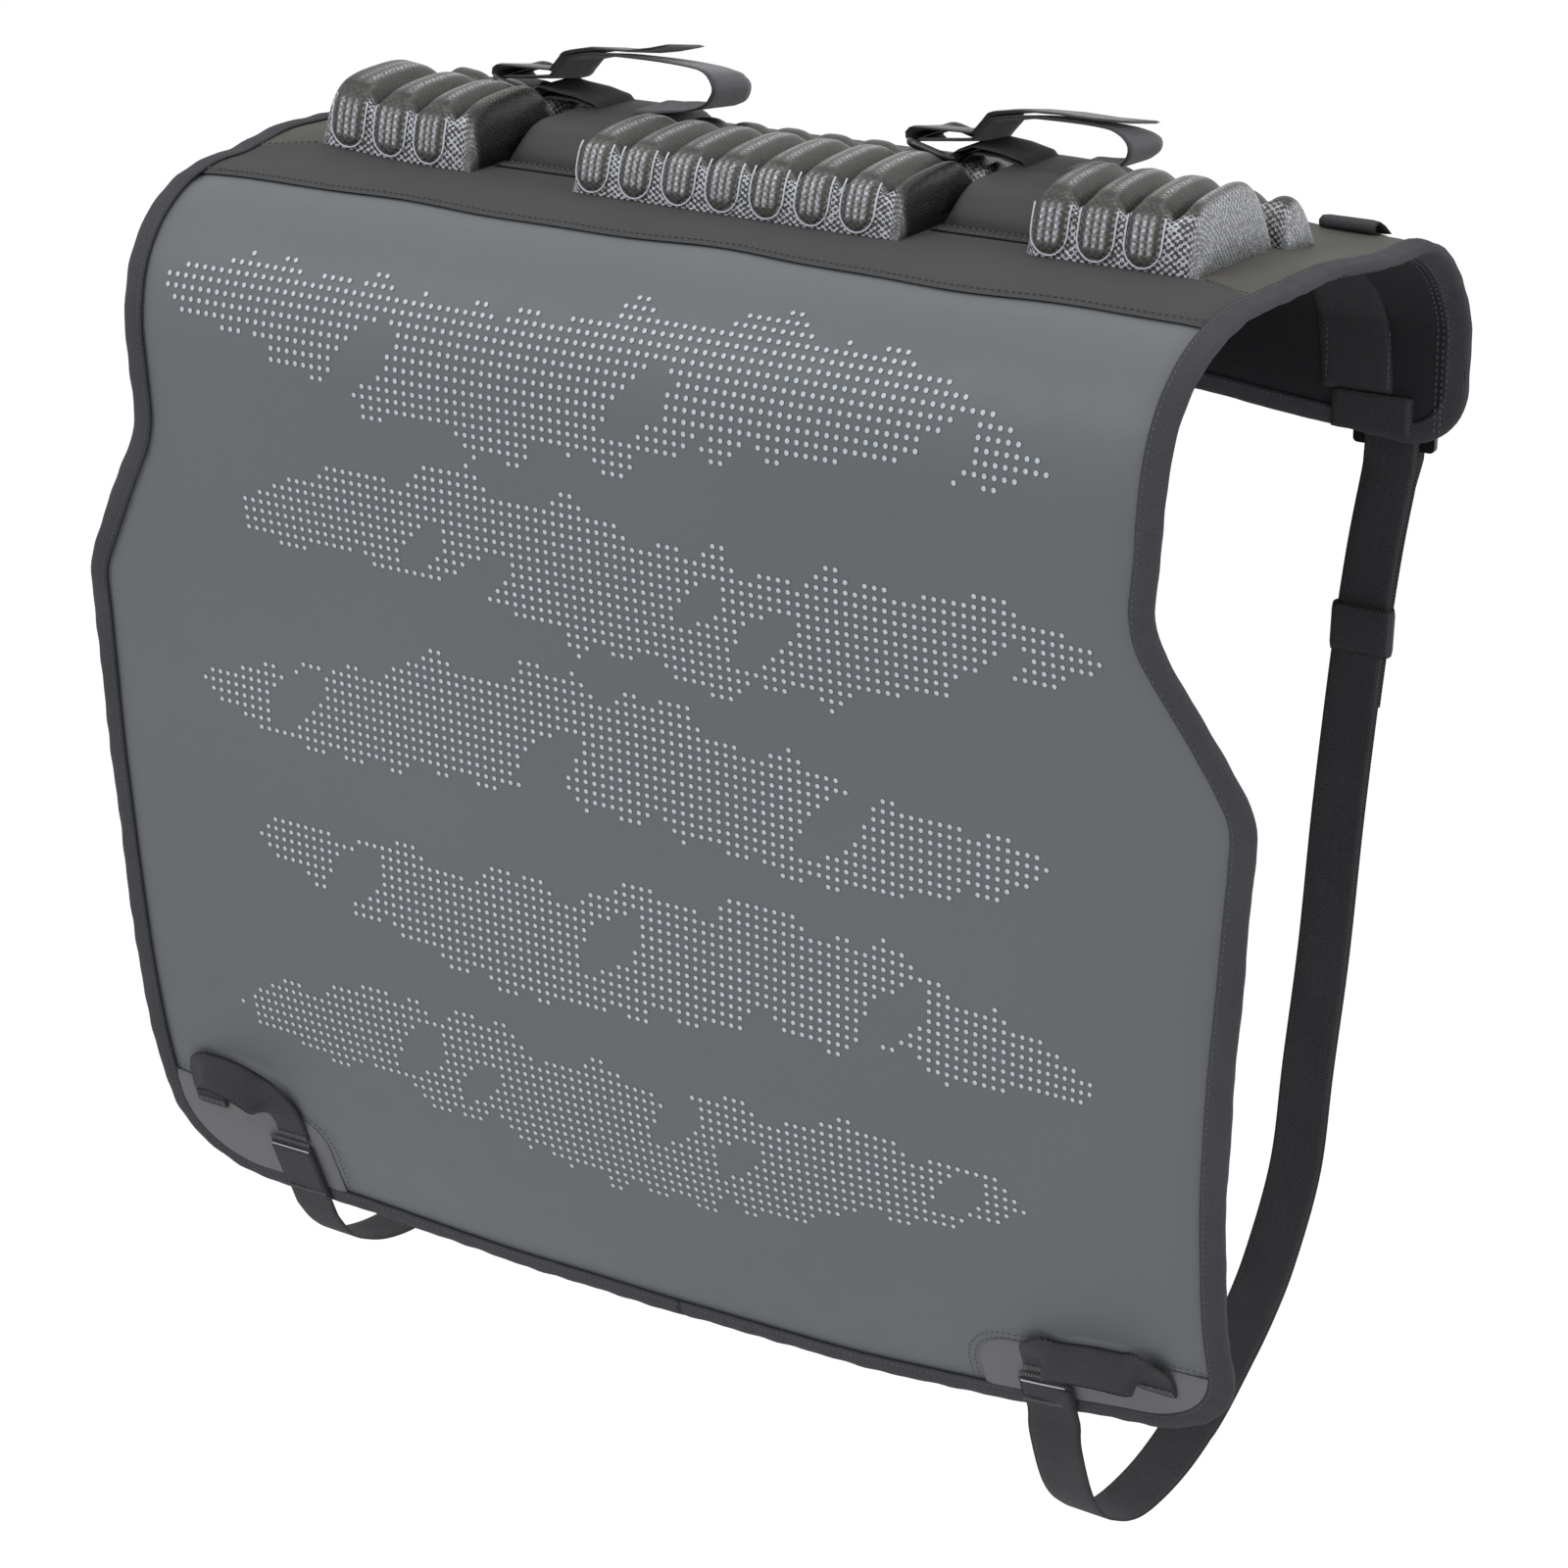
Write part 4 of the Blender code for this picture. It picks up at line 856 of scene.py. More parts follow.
def add_foam_and_lining():
    inner = OUTLINE + INWARD * 0.0030
    window = box_window(-PANEL_WIDTH, PANEL_WIDTH, level_at(-PANEL_WIDTH), level_at(hang.length + PANEL_WIDTH))
    flat, faces, area = region([inner, window], 0.012)
    edge = distance_to(flat, OUTLINE)
    points, sides = slab(flat, faces, -0.0026 - 0.0006 * np.exp(-edge / 0.01), -0.0071 + pinch(edge) * 0.85)
    foam = new_object("foam_pad", points, sides, "foam")
    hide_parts("foam_core")
    inner = OUTLINE + INWARD * 0.0016
    flat, faces, area = region([inner, window], 0.008)
    height = -THICK + pinch(distance_to(flat, OUTLINE))
    wrinkle = 0.0006 * np.sin(61.0 * flat[:, 0] + 22.0 * flat[:, 1]) * np.sin(17.0 * flat[:, 1])
    lining = new_object("lining_cloth", on_sheet(flat, height - 0.0003 + wrinkle * 0.4),
                        faces[:, ::-1], "lining", uv=flat)
    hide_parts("lining")


# The tape's section as (depth from the edge, height), from its upper hem round the edge to its lower hem
TAPE_SECTION = [(0.0122, 0.0002), (0.0120, 0.0010), (0.0100, 0.0011), (0.0088, 0.0014), (0.0060, 0.0014),
                (0.0030, 0.0010), (0.0012, 0.0003), (0.0003, -0.0007), (0.0, -0.0018), (0.0003, -0.0030),
                (0.0012, -0.0040), (0.0030, -0.0048), (0.0060, -0.0057), (0.0088, -0.0066), (0.0100, -0.0070),
                (0.0120, -0.0076), (0.0122, -0.0070)]


def add_binding():
    lengths = lengths_along(OUTLINE)
    across = lengths_along(np.array(TAPE_SECTION))
    vertices, uv = [], []
    for index, (depth, height) in enumerate(TAPE_SECTION):
        loose = 1.0 if 3 <= index <= 13 else 0.3
        pucker = np.sin(lengths * 2 * np.pi / 0.0183) + 0.8 * np.sin(lengths * 2 * np.pi / 0.0271)
        wander = 0.0005 * loose * (np.sin(lengths * 31.0) + 0.7 * np.sin(lengths * 77.0 + 1.0))
        spot = OUTLINE + INWARD * (depth + wander)[:, None]
        sign = 1.0 if height > -0.002 else -1.0
        vertices.append(on_sheet(spot, height + 0.00022 * loose * pucker * sign))
        uv.append(np.stack([np.full(len(OUTLINE), across[index]), lengths], axis=1))
    faces = [(a, d, c, b) for a, b, c, d in grid_faces(len(TAPE_SECTION), len(OUTLINE))]
    tape = new_object("edge_tape", np.vstack(vertices), faces, "tape", uv=np.vstack(uv))
    thick = tape.modifiers.new("Thickness", "SOLIDIFY")
    thick.thickness = 0.0006
    thick.offset = 0.0
    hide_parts("binding")
    top = OUTLINE + INWARD * 0.0102
    run = surface_run(top, 0.0014, closed=True)
    under_points, under_normals = surface_run(top, -0.0073, closed=True)
    stitches("edge_stitching", [run, (under_points, -under_normals)], "grey_thread",
             radius=0.00028)


def rest_profile(values, step):
    curve = smooth_path(values, step)
    return curve[:, 0], np.clip(curve[:, 1], 0.0, None)


# Side views of the rests, as (along, up)
FRONT_SIDE = [(0.0, 0.0), (0.0010, 0.0060), (0.0022, 0.0125), (0.0040, 0.0190), (0.0065, 0.0245), (0.0105, 0.0284),
              (0.016, 0.0308), (0.025, 0.0326), (0.038, 0.0337), (0.050, 0.0340), (0.060, 0.0328), (0.067, 0.0299),
              (0.073, 0.0252), (0.077, 0.0187), (0.080, 0.0102), (0.081, 0.0)]
REAR_SIDE = [(0.0, 0.0), (0.0006, 0.0080), (0.003, 0.0155), (0.008, 0.0210), (0.015, 0.0230), (0.022, 0.0212),
             (0.027, 0.0150), (0.0295, 0.007), (0.030, 0.0)]
# Each rest: left end, right end, middle of the first tongue, tongue pitch, tongues, start, height, painted light
# on the right wall (pale as painted light on the right rest, near black as painted shade on the others)
RESTS = {
    "left": (-0.2600, -0.1660, -0.2442, 0.02535, 3, SIDE_REST_START, 0.0372, 0.015),
    "middle": (-0.0954, 0.0987, -0.0830, 0.02625, 7, MIDDLE_REST_START, 0.0318, 0.015),
    "right": (0.1642, 0.2560, 0.1763, 0.02495, 3, SIDE_REST_START, 0.0368, 0.62),
}


def wall(distance, reach):
    """Rise of a rounded side from 0 at the edge to 1."""
    t = np.clip(distance / reach, 0.0, 1.0)
    return np.sqrt(np.clip(1.0 - (1.0 - t) ** 2.6, 0.0, 1.0))


def closed_grid(name, spots, look, uv=None):
    """A cushion's upper surface with a flat underside."""
    rows, columns = spots.shape[:2]
    faces = grid_faces(rows, columns, closed_columns=False)
    rim = list(range(columns)) + [r * columns + columns - 1 for r in range(1, rows)]
    rim += [(rows - 1) * columns + c for c in range(columns - 2, -1, -1)]
    rim += [r * columns for r in range(rows - 2, 0, -1)]
    faces.append(tuple(rim[::-1]))
    return new_object(name, spots.reshape(-1, 3), faces, look, uv=uv, close=True)


def tongue_line(center):
    """The piping round a tongue, as (across, up)."""
    sides = np.linspace(0.0255, 0.0135, 6)
    turn = np.linspace(0.0, np.pi, 15)
    line = [(center - TONGUE_HALF, z) for z in sides]
    line += [(center - TONGUE_HALF * math.cos(t), 0.0122 - 0.0104 * math.sin(t)) for t in turn]
    return np.array(line + [(center + TONGUE_HALF, z) for z in sides[::-1]])


def rest_tones(X, Y, count, phase, width, depth, front, front_row):
    """How pale and how open the mesh is on the front, in the grooves and along the crests; the crest rows and the
    band down the right shoulder are painted highlights.
    """
    pale = np.where(front_row, 0.80, 0.60) * front + 0.05 * (1.0 - front)
    mesh = np.where(front_row, 0.95, 0.90) * front + 0.35 * (1.0 - front)
    if front_row:
        # Painted highlights: two bright beaded rows along each rib's crest, where the light catches it.
        share = (count[None, :] + 0.0 * Y) % 1.0
        crest_highlight = bell(share, 0.62, 0.060) + 0.55 * bell(share, 0.40, 0.045)
        crest_highlight = crest_highlight * band(Y, 0.012, 0.020, depth * 0.75, depth * 0.90)
        # A painted highlight down the rounded shoulder of the right wall.
        shoulder_highlight = bell(X, width - 0.0100, 0.0024) * band(Y, 0.014, 0.020, 0.040, 0.062)
        pale = blend(pale, 0.58, crest_highlight) + 0.50 * shoulder_highlight
        mesh = blend(blend(mesh, 0.90, crest_highlight), 0.95, shoulder_highlight)
    shoulders = band(Y, 0.0060, 0.0085, 0.0125, 0.0160)
    return pale * (1.0 - 0.85 * shoulders * (0.35 + 0.65 * phase[None, :])), mesh


def add_rest(name, node, label, side_view, behind=0.0):
    left, right, first, pitch, tongues, start, height, wall_painted_light = RESTS[label]
    front_row = behind == 0.0
    if not front_row:
        height *= REAR_REST_HEIGHT / REST_HEIGHT
        right += 0.003 if label == "right" else 0.0
    width = right - left
    first -= left
    depth = side_view[-1][0]
    seat = hang.top_start + start + behind
    y, rise = rest_profile(side_view, REST_GRID)
    x = np.concatenate([[0.0, 0.0004, 0.0010, 0.0018], np.linspace(0.003, width - 0.003, int(width / 0.0009)),
                        [width - 0.0018, width - 0.0010, width - 0.0004, width]])
    flank = 0.0085 if front_row else 0.011
    side = wall(x, flank) * wall(width - x, flank)
    count = (x - first) / pitch + 0.5
    phase = np.where((count > 0.5) & (count < tongues + 0.5), np.abs(np.sin(np.pi * count)), 1.0)
    groove = (1.0 - phase) ** 1.7
    X, Y = np.meshgrid(x, y)
    scale = rise[:, None] / rise.max()
    ahead = smooth(Y, 0.0035, 0.012)
    deep = np.where(Y < depth / 2, ahead, smooth(depth - Y, 0.0, 0.01))
    Z = height * scale * side[None, :] * (1.0 - 0.30 * groove[None, :] * deep)
    Z = Z - 0.0010 * (1.0 - phase[None, :] ** 0.5) * ahead * scale
    front = 1.0 - smooth(Y, 0.0075, 0.0125)
    pale, mesh = rest_tones(X, Y, count, phase, width, depth, front, front_row)
    forward = np.zeros_like(Z)
    centers = [first + index * pitch for index in range(tongues)] if front_row else []
    for center in centers:
        across = (X - center) / 0.0090
        low = np.minimum(Z - 0.0120, 0.0) / 0.0100
        inside = (1.0 - smooth(np.sqrt(across ** 2 + low ** 2), 0.84, 1.04)) * front
        stripe = 0.5 + 0.5 * np.cos(2 * np.pi * (X - center) / 0.0041)
        pleats = (1.0 - smooth(np.abs(across), 0.62, 0.80)) * band(Z, 0.0065, 0.0095, 0.0235, 0.0275)
        forward += inside * (0.0021 + 0.0007 * pleats * stripe)
        # Inside the tongue the mesh is pale in stripes over the pleats and dark elsewhere; the dark at the
        # tongue's foot is painted shade.
        pale = blend(pale, 0.05 + 0.85 * stripe * pleats, inside)
        mesh = blend(mesh, 0.55, inside)
    # The right wall's tone is painted light: pale where lit on the right rest, near black as painted shade on the
    # left and middle rests.
    shaded_wall = wall_painted_light < 0.1
    right_wall = smooth(X, width - 0.0065, width - 0.0035) * (1.0 - 0.5 * front * shaded_wall)
    spots = hang.place((left + X).ravel(), (seat + Y).ravel(), 0.0).reshape(*X.shape, 3)
    spots[..., 1] -= forward
    spots[..., 2] += Z + 0.0004
    u, v = np.meshgrid(*(lengths_along(np.stack(pair, axis=1)) for pair in ((x, height * side), (y, rise))))
    obj = closed_grid(name, spots, "mesh", np.stack([u, v], axis=-1).reshape(-1, 2))
    tones = {"pale": blend(pale, wall_painted_light, right_wall), "mesh": blend(mesh, 0.55, right_wall),
             "gloss": right_wall * shaded_wall + 0.55 * (1.0 - front)}
    for tone, values in tones.items():
        add_tone(obj, tone, np.clip(values, 0.0, 1.0).ravel())
    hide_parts(node)
    peak = int(np.argmax(rise > 0.95 * rise.max()))
    for number, center in enumerate(centers):
        line = resample(tongue_line(center), 0.0008)
        near = np.interp(line[:, 1], rise[:peak] * height / rise.max(), y[:peak])
        path = hang.place(left + line[:, 0], seat + near, 0.0)
        path[:, 1] -= 0.0008
        path[:, 2] += line[:, 1] + 0.0004
        tube(f"{name}_piping_{number + 1}", path, PIPING_RADIUS, "pale_thread", 6)


def add_rests():
    for label in RESTS:
        add_rest(f"ribbed_rest_{label}", f"front_rest_{label}", label, FRONT_SIDE)
        behind = REST_DEPTH + REAR_REST_GAP + (0.004 if label == "right" else 0.0)
        add_rest(f"low_rest_{label}", f"rear_rest_{label}", label, REAR_SIDE, behind)


def slot_edges():
    return {"left": (RESTS["left"][1], RESTS["middle"][0]), "right": (RESTS["middle"][1], RESTS["right"][0])}


CRADLE_SIDE = [(0.0, 0.0), (0.0015, 0.0065), (0.006, 0.0125), (0.013, 0.0180), (0.022, 0.0208), (0.035, 0.0217),
               (0.060, 0.0220), (0.080, 0.0218), (0.096, 0.0190), (0.104, 0.0120), (0.108, 0.0)]


def add_cradles():
    for side, (left, right) in slot_edges().items():
        middle = (left + right) / 2
        width = right - left - 0.004
        y, rise = rest_profile(CRADLE_SIDE, 0.0025)
        x = np.concatenate([[0.0, 0.0006, 0.0016], np.linspace(0.003, width - 0.003, 30),
                            [width - 0.0016, width - 0.0006, width]])
        X, Y = np.meshgrid(x, y)
        Z = rise[:, None] * (wall(x, 0.012) * wall(width - x, 0.012))[None, :]
        crease = 0.0009 * np.sin(X * 160.0 + Y * 60.0) * band(Y, 0.004, 0.02, 0.02, 0.05)
        seat = hang.top_start + CRADLE_START
        spots = hang.place((middle - width / 2 + X).ravel(), (seat + Y).ravel(), 0.0).reshape(*X.shape, 3)
        spots[..., 2] += Z + 0.0003 + crease
        obj = closed_grid(f"slot_cradle_{side}", spots, "smooth")
        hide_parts(f"cradle_{side}")
        hem = hang.place(np.linspace(middle - width / 2, middle + width / 2, 12), seat - 0.0060, 0.0017)
        ribbon(f"cradle_hem_{side}", hem, ENDWISE, HEM_WIDTH, TAB_WEBBING)
        runs = []
        for back in (0.0018, 0.0100):
            flat = [(middle - width / 2 + 0.003, seat - back), (middle + width / 2 - 0.003, seat - back)]
            runs.append(surface_run(flat, 0.0024))
        stitches(f"cradle_stitches_{side}", runs, "grey_thread")


def turned(center, radius, start, end):
    """Points round a wire in the side view."""
    angles = np.radians(np.linspace(start, end, 12))
    return [center + radius * np.array([np.cos(a), np.sin(a)]) for a in angles]


def bike_strap_lines(side):
    """The strap's, the holder's and the ring's side views over the cradle, as (x, z)."""
    gap, thickness, tab = GAP, WEBBING, TAB_WEBBING
    pad_top = CRADLE_HEIGHT + gap
    reach, rise = BIKE_STRAP_REACH[side], BIKE_STRAP_RISE[side]
    foot = CRADLE_WIDTH / 2 + BIKE_STRAP_SHIFT
    past = reach - foot
    lap = pad_top + thickness / 2 + gap
    arch = np.array([(x, lap + z) for x, z in (
        (BIKE_STRAP_ROOT, 0.0), ((BIKE_STRAP_ROOT + foot) / 2, 0.0003), (foot, 0.0014),
        (foot + 0.52 * past, 0.0030), (foot + 0.87 * past, 0.0065), (reach, 0.0012 + 0.48 * rise),
        (reach - 0.0015, 0.74 * rise), (reach - 0.0080, 0.91 * rise), (0.60 * reach, 0.985 * rise),
        (0.20 * reach, rise), (-0.010, 0.97 * rise), (-0.026, 0.84 * rise))])
    far_bar = np.array([-RING_FAR, pad_top + RING_RISE[side] - RING_SETTLE[side]])
    near_bar = far_bar + (RING_SPACING, -RING_FALL)
    turn = RING_WIRE + gap + thickness / 2
    under = [near_bar + (0.009, turn + tab + 0.0028), near_bar + (0.0, turn + tab + 0.0014)]
    over = [p + (0.0, 2 * thickness) for p in (under[0], arch[-1], arch[-2], arch[-3])]
    tip = np.array([BIKE_STRAP_TIP[side], lap + BIKE_STRAP_TIP_RISE[side]])
    line = np.vstack([smooth_path(arch, 0.0015), under, turned(far_bar, turn, 280.0, 80.0), over,
                      [(over[-1] + tip) / 2 - (0.0, 0.0005), tip]])
    rest = pad_top + gap + tab / 2
    hop = rest + max(0.0, REAR_REST_HEIGHT - CRADLE_HEIGHT) + 2 * gap
    ahead = near_bar[0] + RING_TAB_REACH
    holder = [(-0.005, rest - 0.0060), (-0.009, rest - 0.0015), (-0.014, rest), (-0.021, hop), (ahead, hop)]
    holder += turned(near_bar, RING_WIRE + gap + tab / 2, 285.0, 75.0)
    holder += [(ahead, hop + 2 * tab + 0.0014), (-0.021, hop + 2 * tab), (-0.014, rest + 2 * tab),
               (-0.008, rest + tab), (-0.003, rest - 0.0045)]
    return resample(line, 0.0018), resample(np.array(holder), 0.0018), far_bar, near_bar


def add_bike_straps():
    half = BIKE_STRAP_WIDTH / 2 + RING_MARGIN
    for side, middle in SLOT_MIDDLE.items():
        line, holder, far_bar, near_bar = bike_strap_lines(side)
        seat = hang.place(middle - BIKE_STRAP_SHIFT, hang.top_start + BIKE_STRAP_START, GAP)[0]
        lean = np.radians(10.0) * smooth(np.arange(len(line)) * 0.0018, 0.012, 0.060)
        across = np.stack([np.zeros(len(line)), np.cos(lean), -np.sin(lean)], axis=1)
        strap = ribbon(f"closing_strap_{side}", side_points(seat, line), across, BIKE_STRAP_WIDTH, WEBBING,
                       "hook")
        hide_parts(f"bike_strap_{side}")
        tab = ribbon(f"ring_holder_{side}", side_points(seat, holder), ENDWISE, RING_TAB_WIDTH, TAB_WEBBING)
        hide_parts(f"ring_tab_{side}")
        corners = [(x, y, RING_MARGIN) for x, y in ((0.0, half), (RING_SPACING, half), (RING_SPACING, -half),
                                                   (0.0, -half))]
        outline = fillet_path([(0.0, 0.0, 0.0), *corners, (0.0, 0.0, 0.0)], math.radians(10.0))[:-1]
        share = outline[:, :1] / RING_SPACING
        flat = far_bar * (1.0 - share) + near_bar * share
        path = side_points(seat, flat) + np.outer(outline[:, 1], ENDWISE)
        ring = tube(f"flat_ring_{side}", resample(path, 0.0015, closed=True), RING_WIRE, "plastic",
                    sides=14, closed=True)
        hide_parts(f"ring_{side}")


def side_points(seat, points):
    """Side view points (x, z) as places over a seat."""
    return np.stack([seat[0] + points[:, 0], np.full(len(points), seat[1]), seat[2] + points[:, 1]], axis=1)


def add_patches():
    inner = OUTLINE + INWARD * (TAPE_WIDTH + 0.0003)
    for side, sign in SIDES.items():
        edge = abs(STRAP_FRONT_X[side]) - PATCH_INNER[side]
        window = fillet_path([
            (edge, -PANEL_WIDTH / 8, 0.0),
            (edge, PATCH_LOW_TOP, PATCH_RADIUS),
            (PANEL_WIDTH / 2, PATCH_HIGH_TOP, PATCH_RADIUS / 4),
            (PANEL_WIDTH, PATCH_HIGH_TOP, 0.001),
            (PANEL_WIDTH, -PANEL_WIDTH / 8, 0.0),
        ], math.radians(8.0)) * (sign, 1.0)
        above = window[:, 1] > 0.0
        window[above, 1] = hang.level(window[above, 0], window[above, 1])
        flat, faces, area = region([inner, resample(window, 0.004, closed=True)], 0.005)
        border = distance_to(flat, resample(window, 0.004, closed=True))
        height = 0.0003 + 0.0009 * smooth(border, 0.0, 0.0025)
        obj = new_object(f"patch_cloth_{side}", on_sheet(flat, height), faces,
                         "patch", uv=flat)
        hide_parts(f"corner_patch_{side}")
        runs = []
        line = resample(window, 0.002)
        step = inward(line) * (sign, sign)
        for gap in (0.0022, 0.0058):
            moved = line[2:-2] + step[2:-2] * gap
            keep = inside_polygon(moved, inner) & (distance_to(moved, inner) > 0.001)
            moved = moved[keep]
            if len(moved) > 3:
                runs.append(surface_run(moved, 0.0014))
        stitches(f"patch_stitches_{side}", runs, "thread")


def add_finger_loops():
    """Each loop goes up from one sewn foot and down to the other, with its width standing off the cloth."""
    base = 2 * GAP + PATCH_CLOTH + WEBBING / 2
    turns = np.radians(np.linspace(180.0, 0.0, 41))
    high = np.sin(turns)
    for side, sign in SIDES.items():
        reach, tall, lower, beside = FINGER_LOOPS[side]
        near = STRAP_FRONT_X[side] + beside
        middle = near + sign * reach / 2
        start = hang.level(near, STRAP_END + 0.005 + FINGER_LOOP_FLAT)
        wide = np.stack([np.cos(turns) * np.abs(np.cos(turns)), -0.36 * high, 0.93 * high], axis=1)
        half = 0.5 * FINGER_LOOP_WIDTH * wide / np.linalg.norm(wide, axis=1)[:, None]
        x = middle - (reach + FINGER_LOOP_WIDTH) / 2 * np.cos(turns) + half[:, 0]
        foot = start - lower * ((x - middle) / reach + sign / 2)
        s = foot + tall * np.maximum(high, 0.0) ** 0.6 + half[:, 1]
        height = base + half[:, 2]
        center = hang.place(x, s, height)
        across = hang.place(x + half[:, 0], s + half[:, 1], height + half[:, 2]) - center
        feet = []
        for end in (0, -1):
            sewn = np.linspace(s[end] - FINGER_LOOP_FLAT, s[end] - 0.001, 5)
            feet.append(hang.place(x[end], sewn[::-1] if end else sewn, base))
        path = np.vstack([feet[0], center, feet[1]])
        across = np.vstack([np.repeat(across[:1], 5, axis=0), across, np.repeat(across[-1:], 5, axis=0)])
        loop = ribbon(f"pull_loop_{side}", path, across, FINGER_LOOP_WIDTH, WEBBING)
        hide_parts(f"finger_loop_{side}")
        for label, end in (("first", 0), ("last", -1)):
            bar_tack(f"pull_loop_tack_{label}_{side}", x[end], s[end] - 0.0055, FINGER_LOOP_WIDTH - 0.002,
                     base + 0.0011)


def bar_tack(name, x, s, width, height, depth=0.0042):
    """A dense zigzag of thread sewn across webbing."""
    count = int(width / TACK_PITCH)
    points = [(x - width / 2 + width * i / count, s + (depth / 2 if i % 2 else -depth / 2))
              for i in range(count + 1)]
    path = resample(points, TACK_PITCH)
    tube(name, on_sheet(path, height), 0.00034, "grey_thread", sides=5)


def buckle_levels():
    edge = hang.place(STRAP_REAR_X, hang.length, 0.0)[0]
    behind = edge[1] - hang.relief(STRAP_REAR_X, hang.length) + 0.0016
    low_bar = edge[2] - BUCKLE_BELOW_EDGE + BUCKLE_BAR / 2
    pitch = BUCKLE_BAR + BUCKLE_SLOT
    frame_y = behind + WEBBING + BUCKLE_GAP + BUCKLE_THICKNESS / 2
    return behind, frame_y, [low_bar, low_bar + pitch, low_bar + 2 * pitch]


def hold_strap_lines(side):
    """The strap from its sewn front end down, under and up to the buckle, and its loose end."""
    thickness = WEBBING
    over = 3 * GAP + PATCH_CLOTH + thickness / 2
    behind, frame_y, bars = buckle_levels()
    x = STRAP_FRONT_X[side]
    end = hang.level(x, STRAP_END)
    first = [hang.place(x, s, over)[0, 1:] for s in (end, end / 2, 0.0, -FRONT_EDGE_SAG)]
    front = first[2]
    level = front[1] - hang.rise(x, 0.0)
    rear = np.array([behind + thickness / 2, bars[0] - 2 * BUCKLE_BAR])
    shape = ((0.015, 0.78), (0.065, 0.40), (0.135, 0.16), (0.225, 0.025), (0.32, 0.0), (0.425, 0.045),
             (0.53, 0.17), (0.625, 0.37), (0.71, 0.58), (0.785, 0.86))
    depth = rear[0] - front[0]
    low = level - STRAP_LOOP_DROP[side]
    hangs = [(front[0] + depth * y, low + (front[1] - low) * z) for y, z in shape[:4]]
    hangs += [(front[0] + depth * y, low + STRAP_LOOP_DROP[side] * z) for y, z in shape[4:]]
    rise = rear[1] - level
    climb = [(rear[0] - back, level + rise * z) for back, z in (
        (0.041, 0.08), (0.036, 0.22), (0.029, 0.38), (0.026, 0.57), (0.019, 0.77), (0.011, 0.90))]
    up = smooth_path(first[3:] + [np.array(p) for p in hangs + climb] + [rear], 0.004)
    reach = frame_y - rear[0]
    top = bars[1] + BUCKLE_BAR / 2
    angles = np.radians(np.linspace(0.0, 180.0, 13))
    over_bar = [(frame_y - reach * math.cos(a), top + 0.6 * reach * math.sin(a)) for a in angles]
    low_tail = bars[0] - BUCKLE_BAR
    bottom = low_tail - STRAP_TAIL_DROP
    back = [p + (0.0022, 0.0) for p in up[::-1] if bottom < p[1] < low_tail - 0.012 and 0.05 < p[0] < behind]
    return np.vstack([first[:3], up, over_bar, [(frame_y + reach, low_tail)], back]), low, front, behind, bars


def strap_across(side, y, z, low, front, behind, bars):
    start, end = STRAP_FRONT_X[side], SIDES[side] * STRAP_REAR_X
    depth = np.clip((y - front[0]) / (behind - front[0]), 0.0, 1.0)
    rise = np.where(depth > 0.5, np.clip((z - low) / (bars[0] - low), 0.0, 1.0), 0.0)
    return start + (end - start) * (0.45 * depth + 0.55 * rise)


def add_hold_straps():
    for side, x in STRAP_FRONT_X.items():
        line, low, front, behind, bars = hold_strap_lines(side)
        line = resample(line, 0.004)
        across = strap_across(side, line[:, 0], line[:, 1], low, front, behind, bars)
        path = np.stack([across, line[:, 0], line[:, 1]], axis=1)
        strap = ribbon(f"webbing_strap_{side}", path, CROSSWISE, STRAP_WIDTH, WEBBING)
        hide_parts(f"hold_strap_{side}")
        end = float(hang.level(x, STRAP_END))
        fold = hang.place(np.full(9, x), np.linspace(end - 0.0025, 0.004, 9), 0.0040)
        ribbon(f"strap_fold_{side}", fold, CROSSWISE, STRAP_WIDTH - 0.0006, 0.0014)
        bar_tack(f"strap_tack_top_{side}", x, end + 0.0020, STRAP_WIDTH - 0.003, 0.0033)
        bar_tack(f"strap_tack_low_{side}", x, 0.0060, STRAP_WIDTH - 0.003, 0.0050, depth=0.0030)
        # A pale tube laid along the fold's top edge is a painted highlight: the fold's glint.
        reach = STRAP_WIDTH / 2 - 0.002
        glint = hang.place(np.linspace(x - reach, x + reach, 10), end - 0.0020, 0.0047)
        tube(f"strap_fold_glint_{side}", glint, 0.0004, "pale_thread", sides=6)
        level = bars[0] - BUCKLE_BAR - KEEPER_DROP
        climb = line[(line[:, 0] > behind - 0.06) & (line[:, 0] < behind) & (line[:, 1] > -FRONT_DROP / 2)]
        near, above, below = (climb[np.argmin(np.abs(climb[:, 1] - level - step))]
                              for step in (0.0, KEEPER_LENGTH / 2, -KEEPER_LENGTH / 2))
        upward = np.array([0.0, *(above - below)])
        upward /= np.linalg.norm(upward)
        out = np.cross(CROSSWISE, upward)
        wide, deep, turn = STRAP_WIDTH / 2 + 0.0002, 0.0022, 0.0012
        loop = [(a * wide + turn * math.cos(angle), b * deep + turn * math.sin(angle))
                for quarter, (a, b) in enumerate(((1, 1), (-1, 1), (-1, -1), (1, -1)))
                for angle in 0.5 * np.pi * (quarter + np.linspace(0.0, 1.0, 5))]
        loop = np.array(loop + loop[:1])
        x = strap_across(side, near[0], near[1], low, front, behind, bars)
        center = np.array([x, near[0] + 0.0011, near[1]])
        round_path = center + loop[:, :1] * np.array(CROSSWISE) + loop[:, 1:] * out
        keeper = ribbon(f"keeper_sleeve_{side}", resample(round_path, 0.002), upward, KEEPER_LENGTH, TAB_WEBBING)
        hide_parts(f"keeper_{side}")


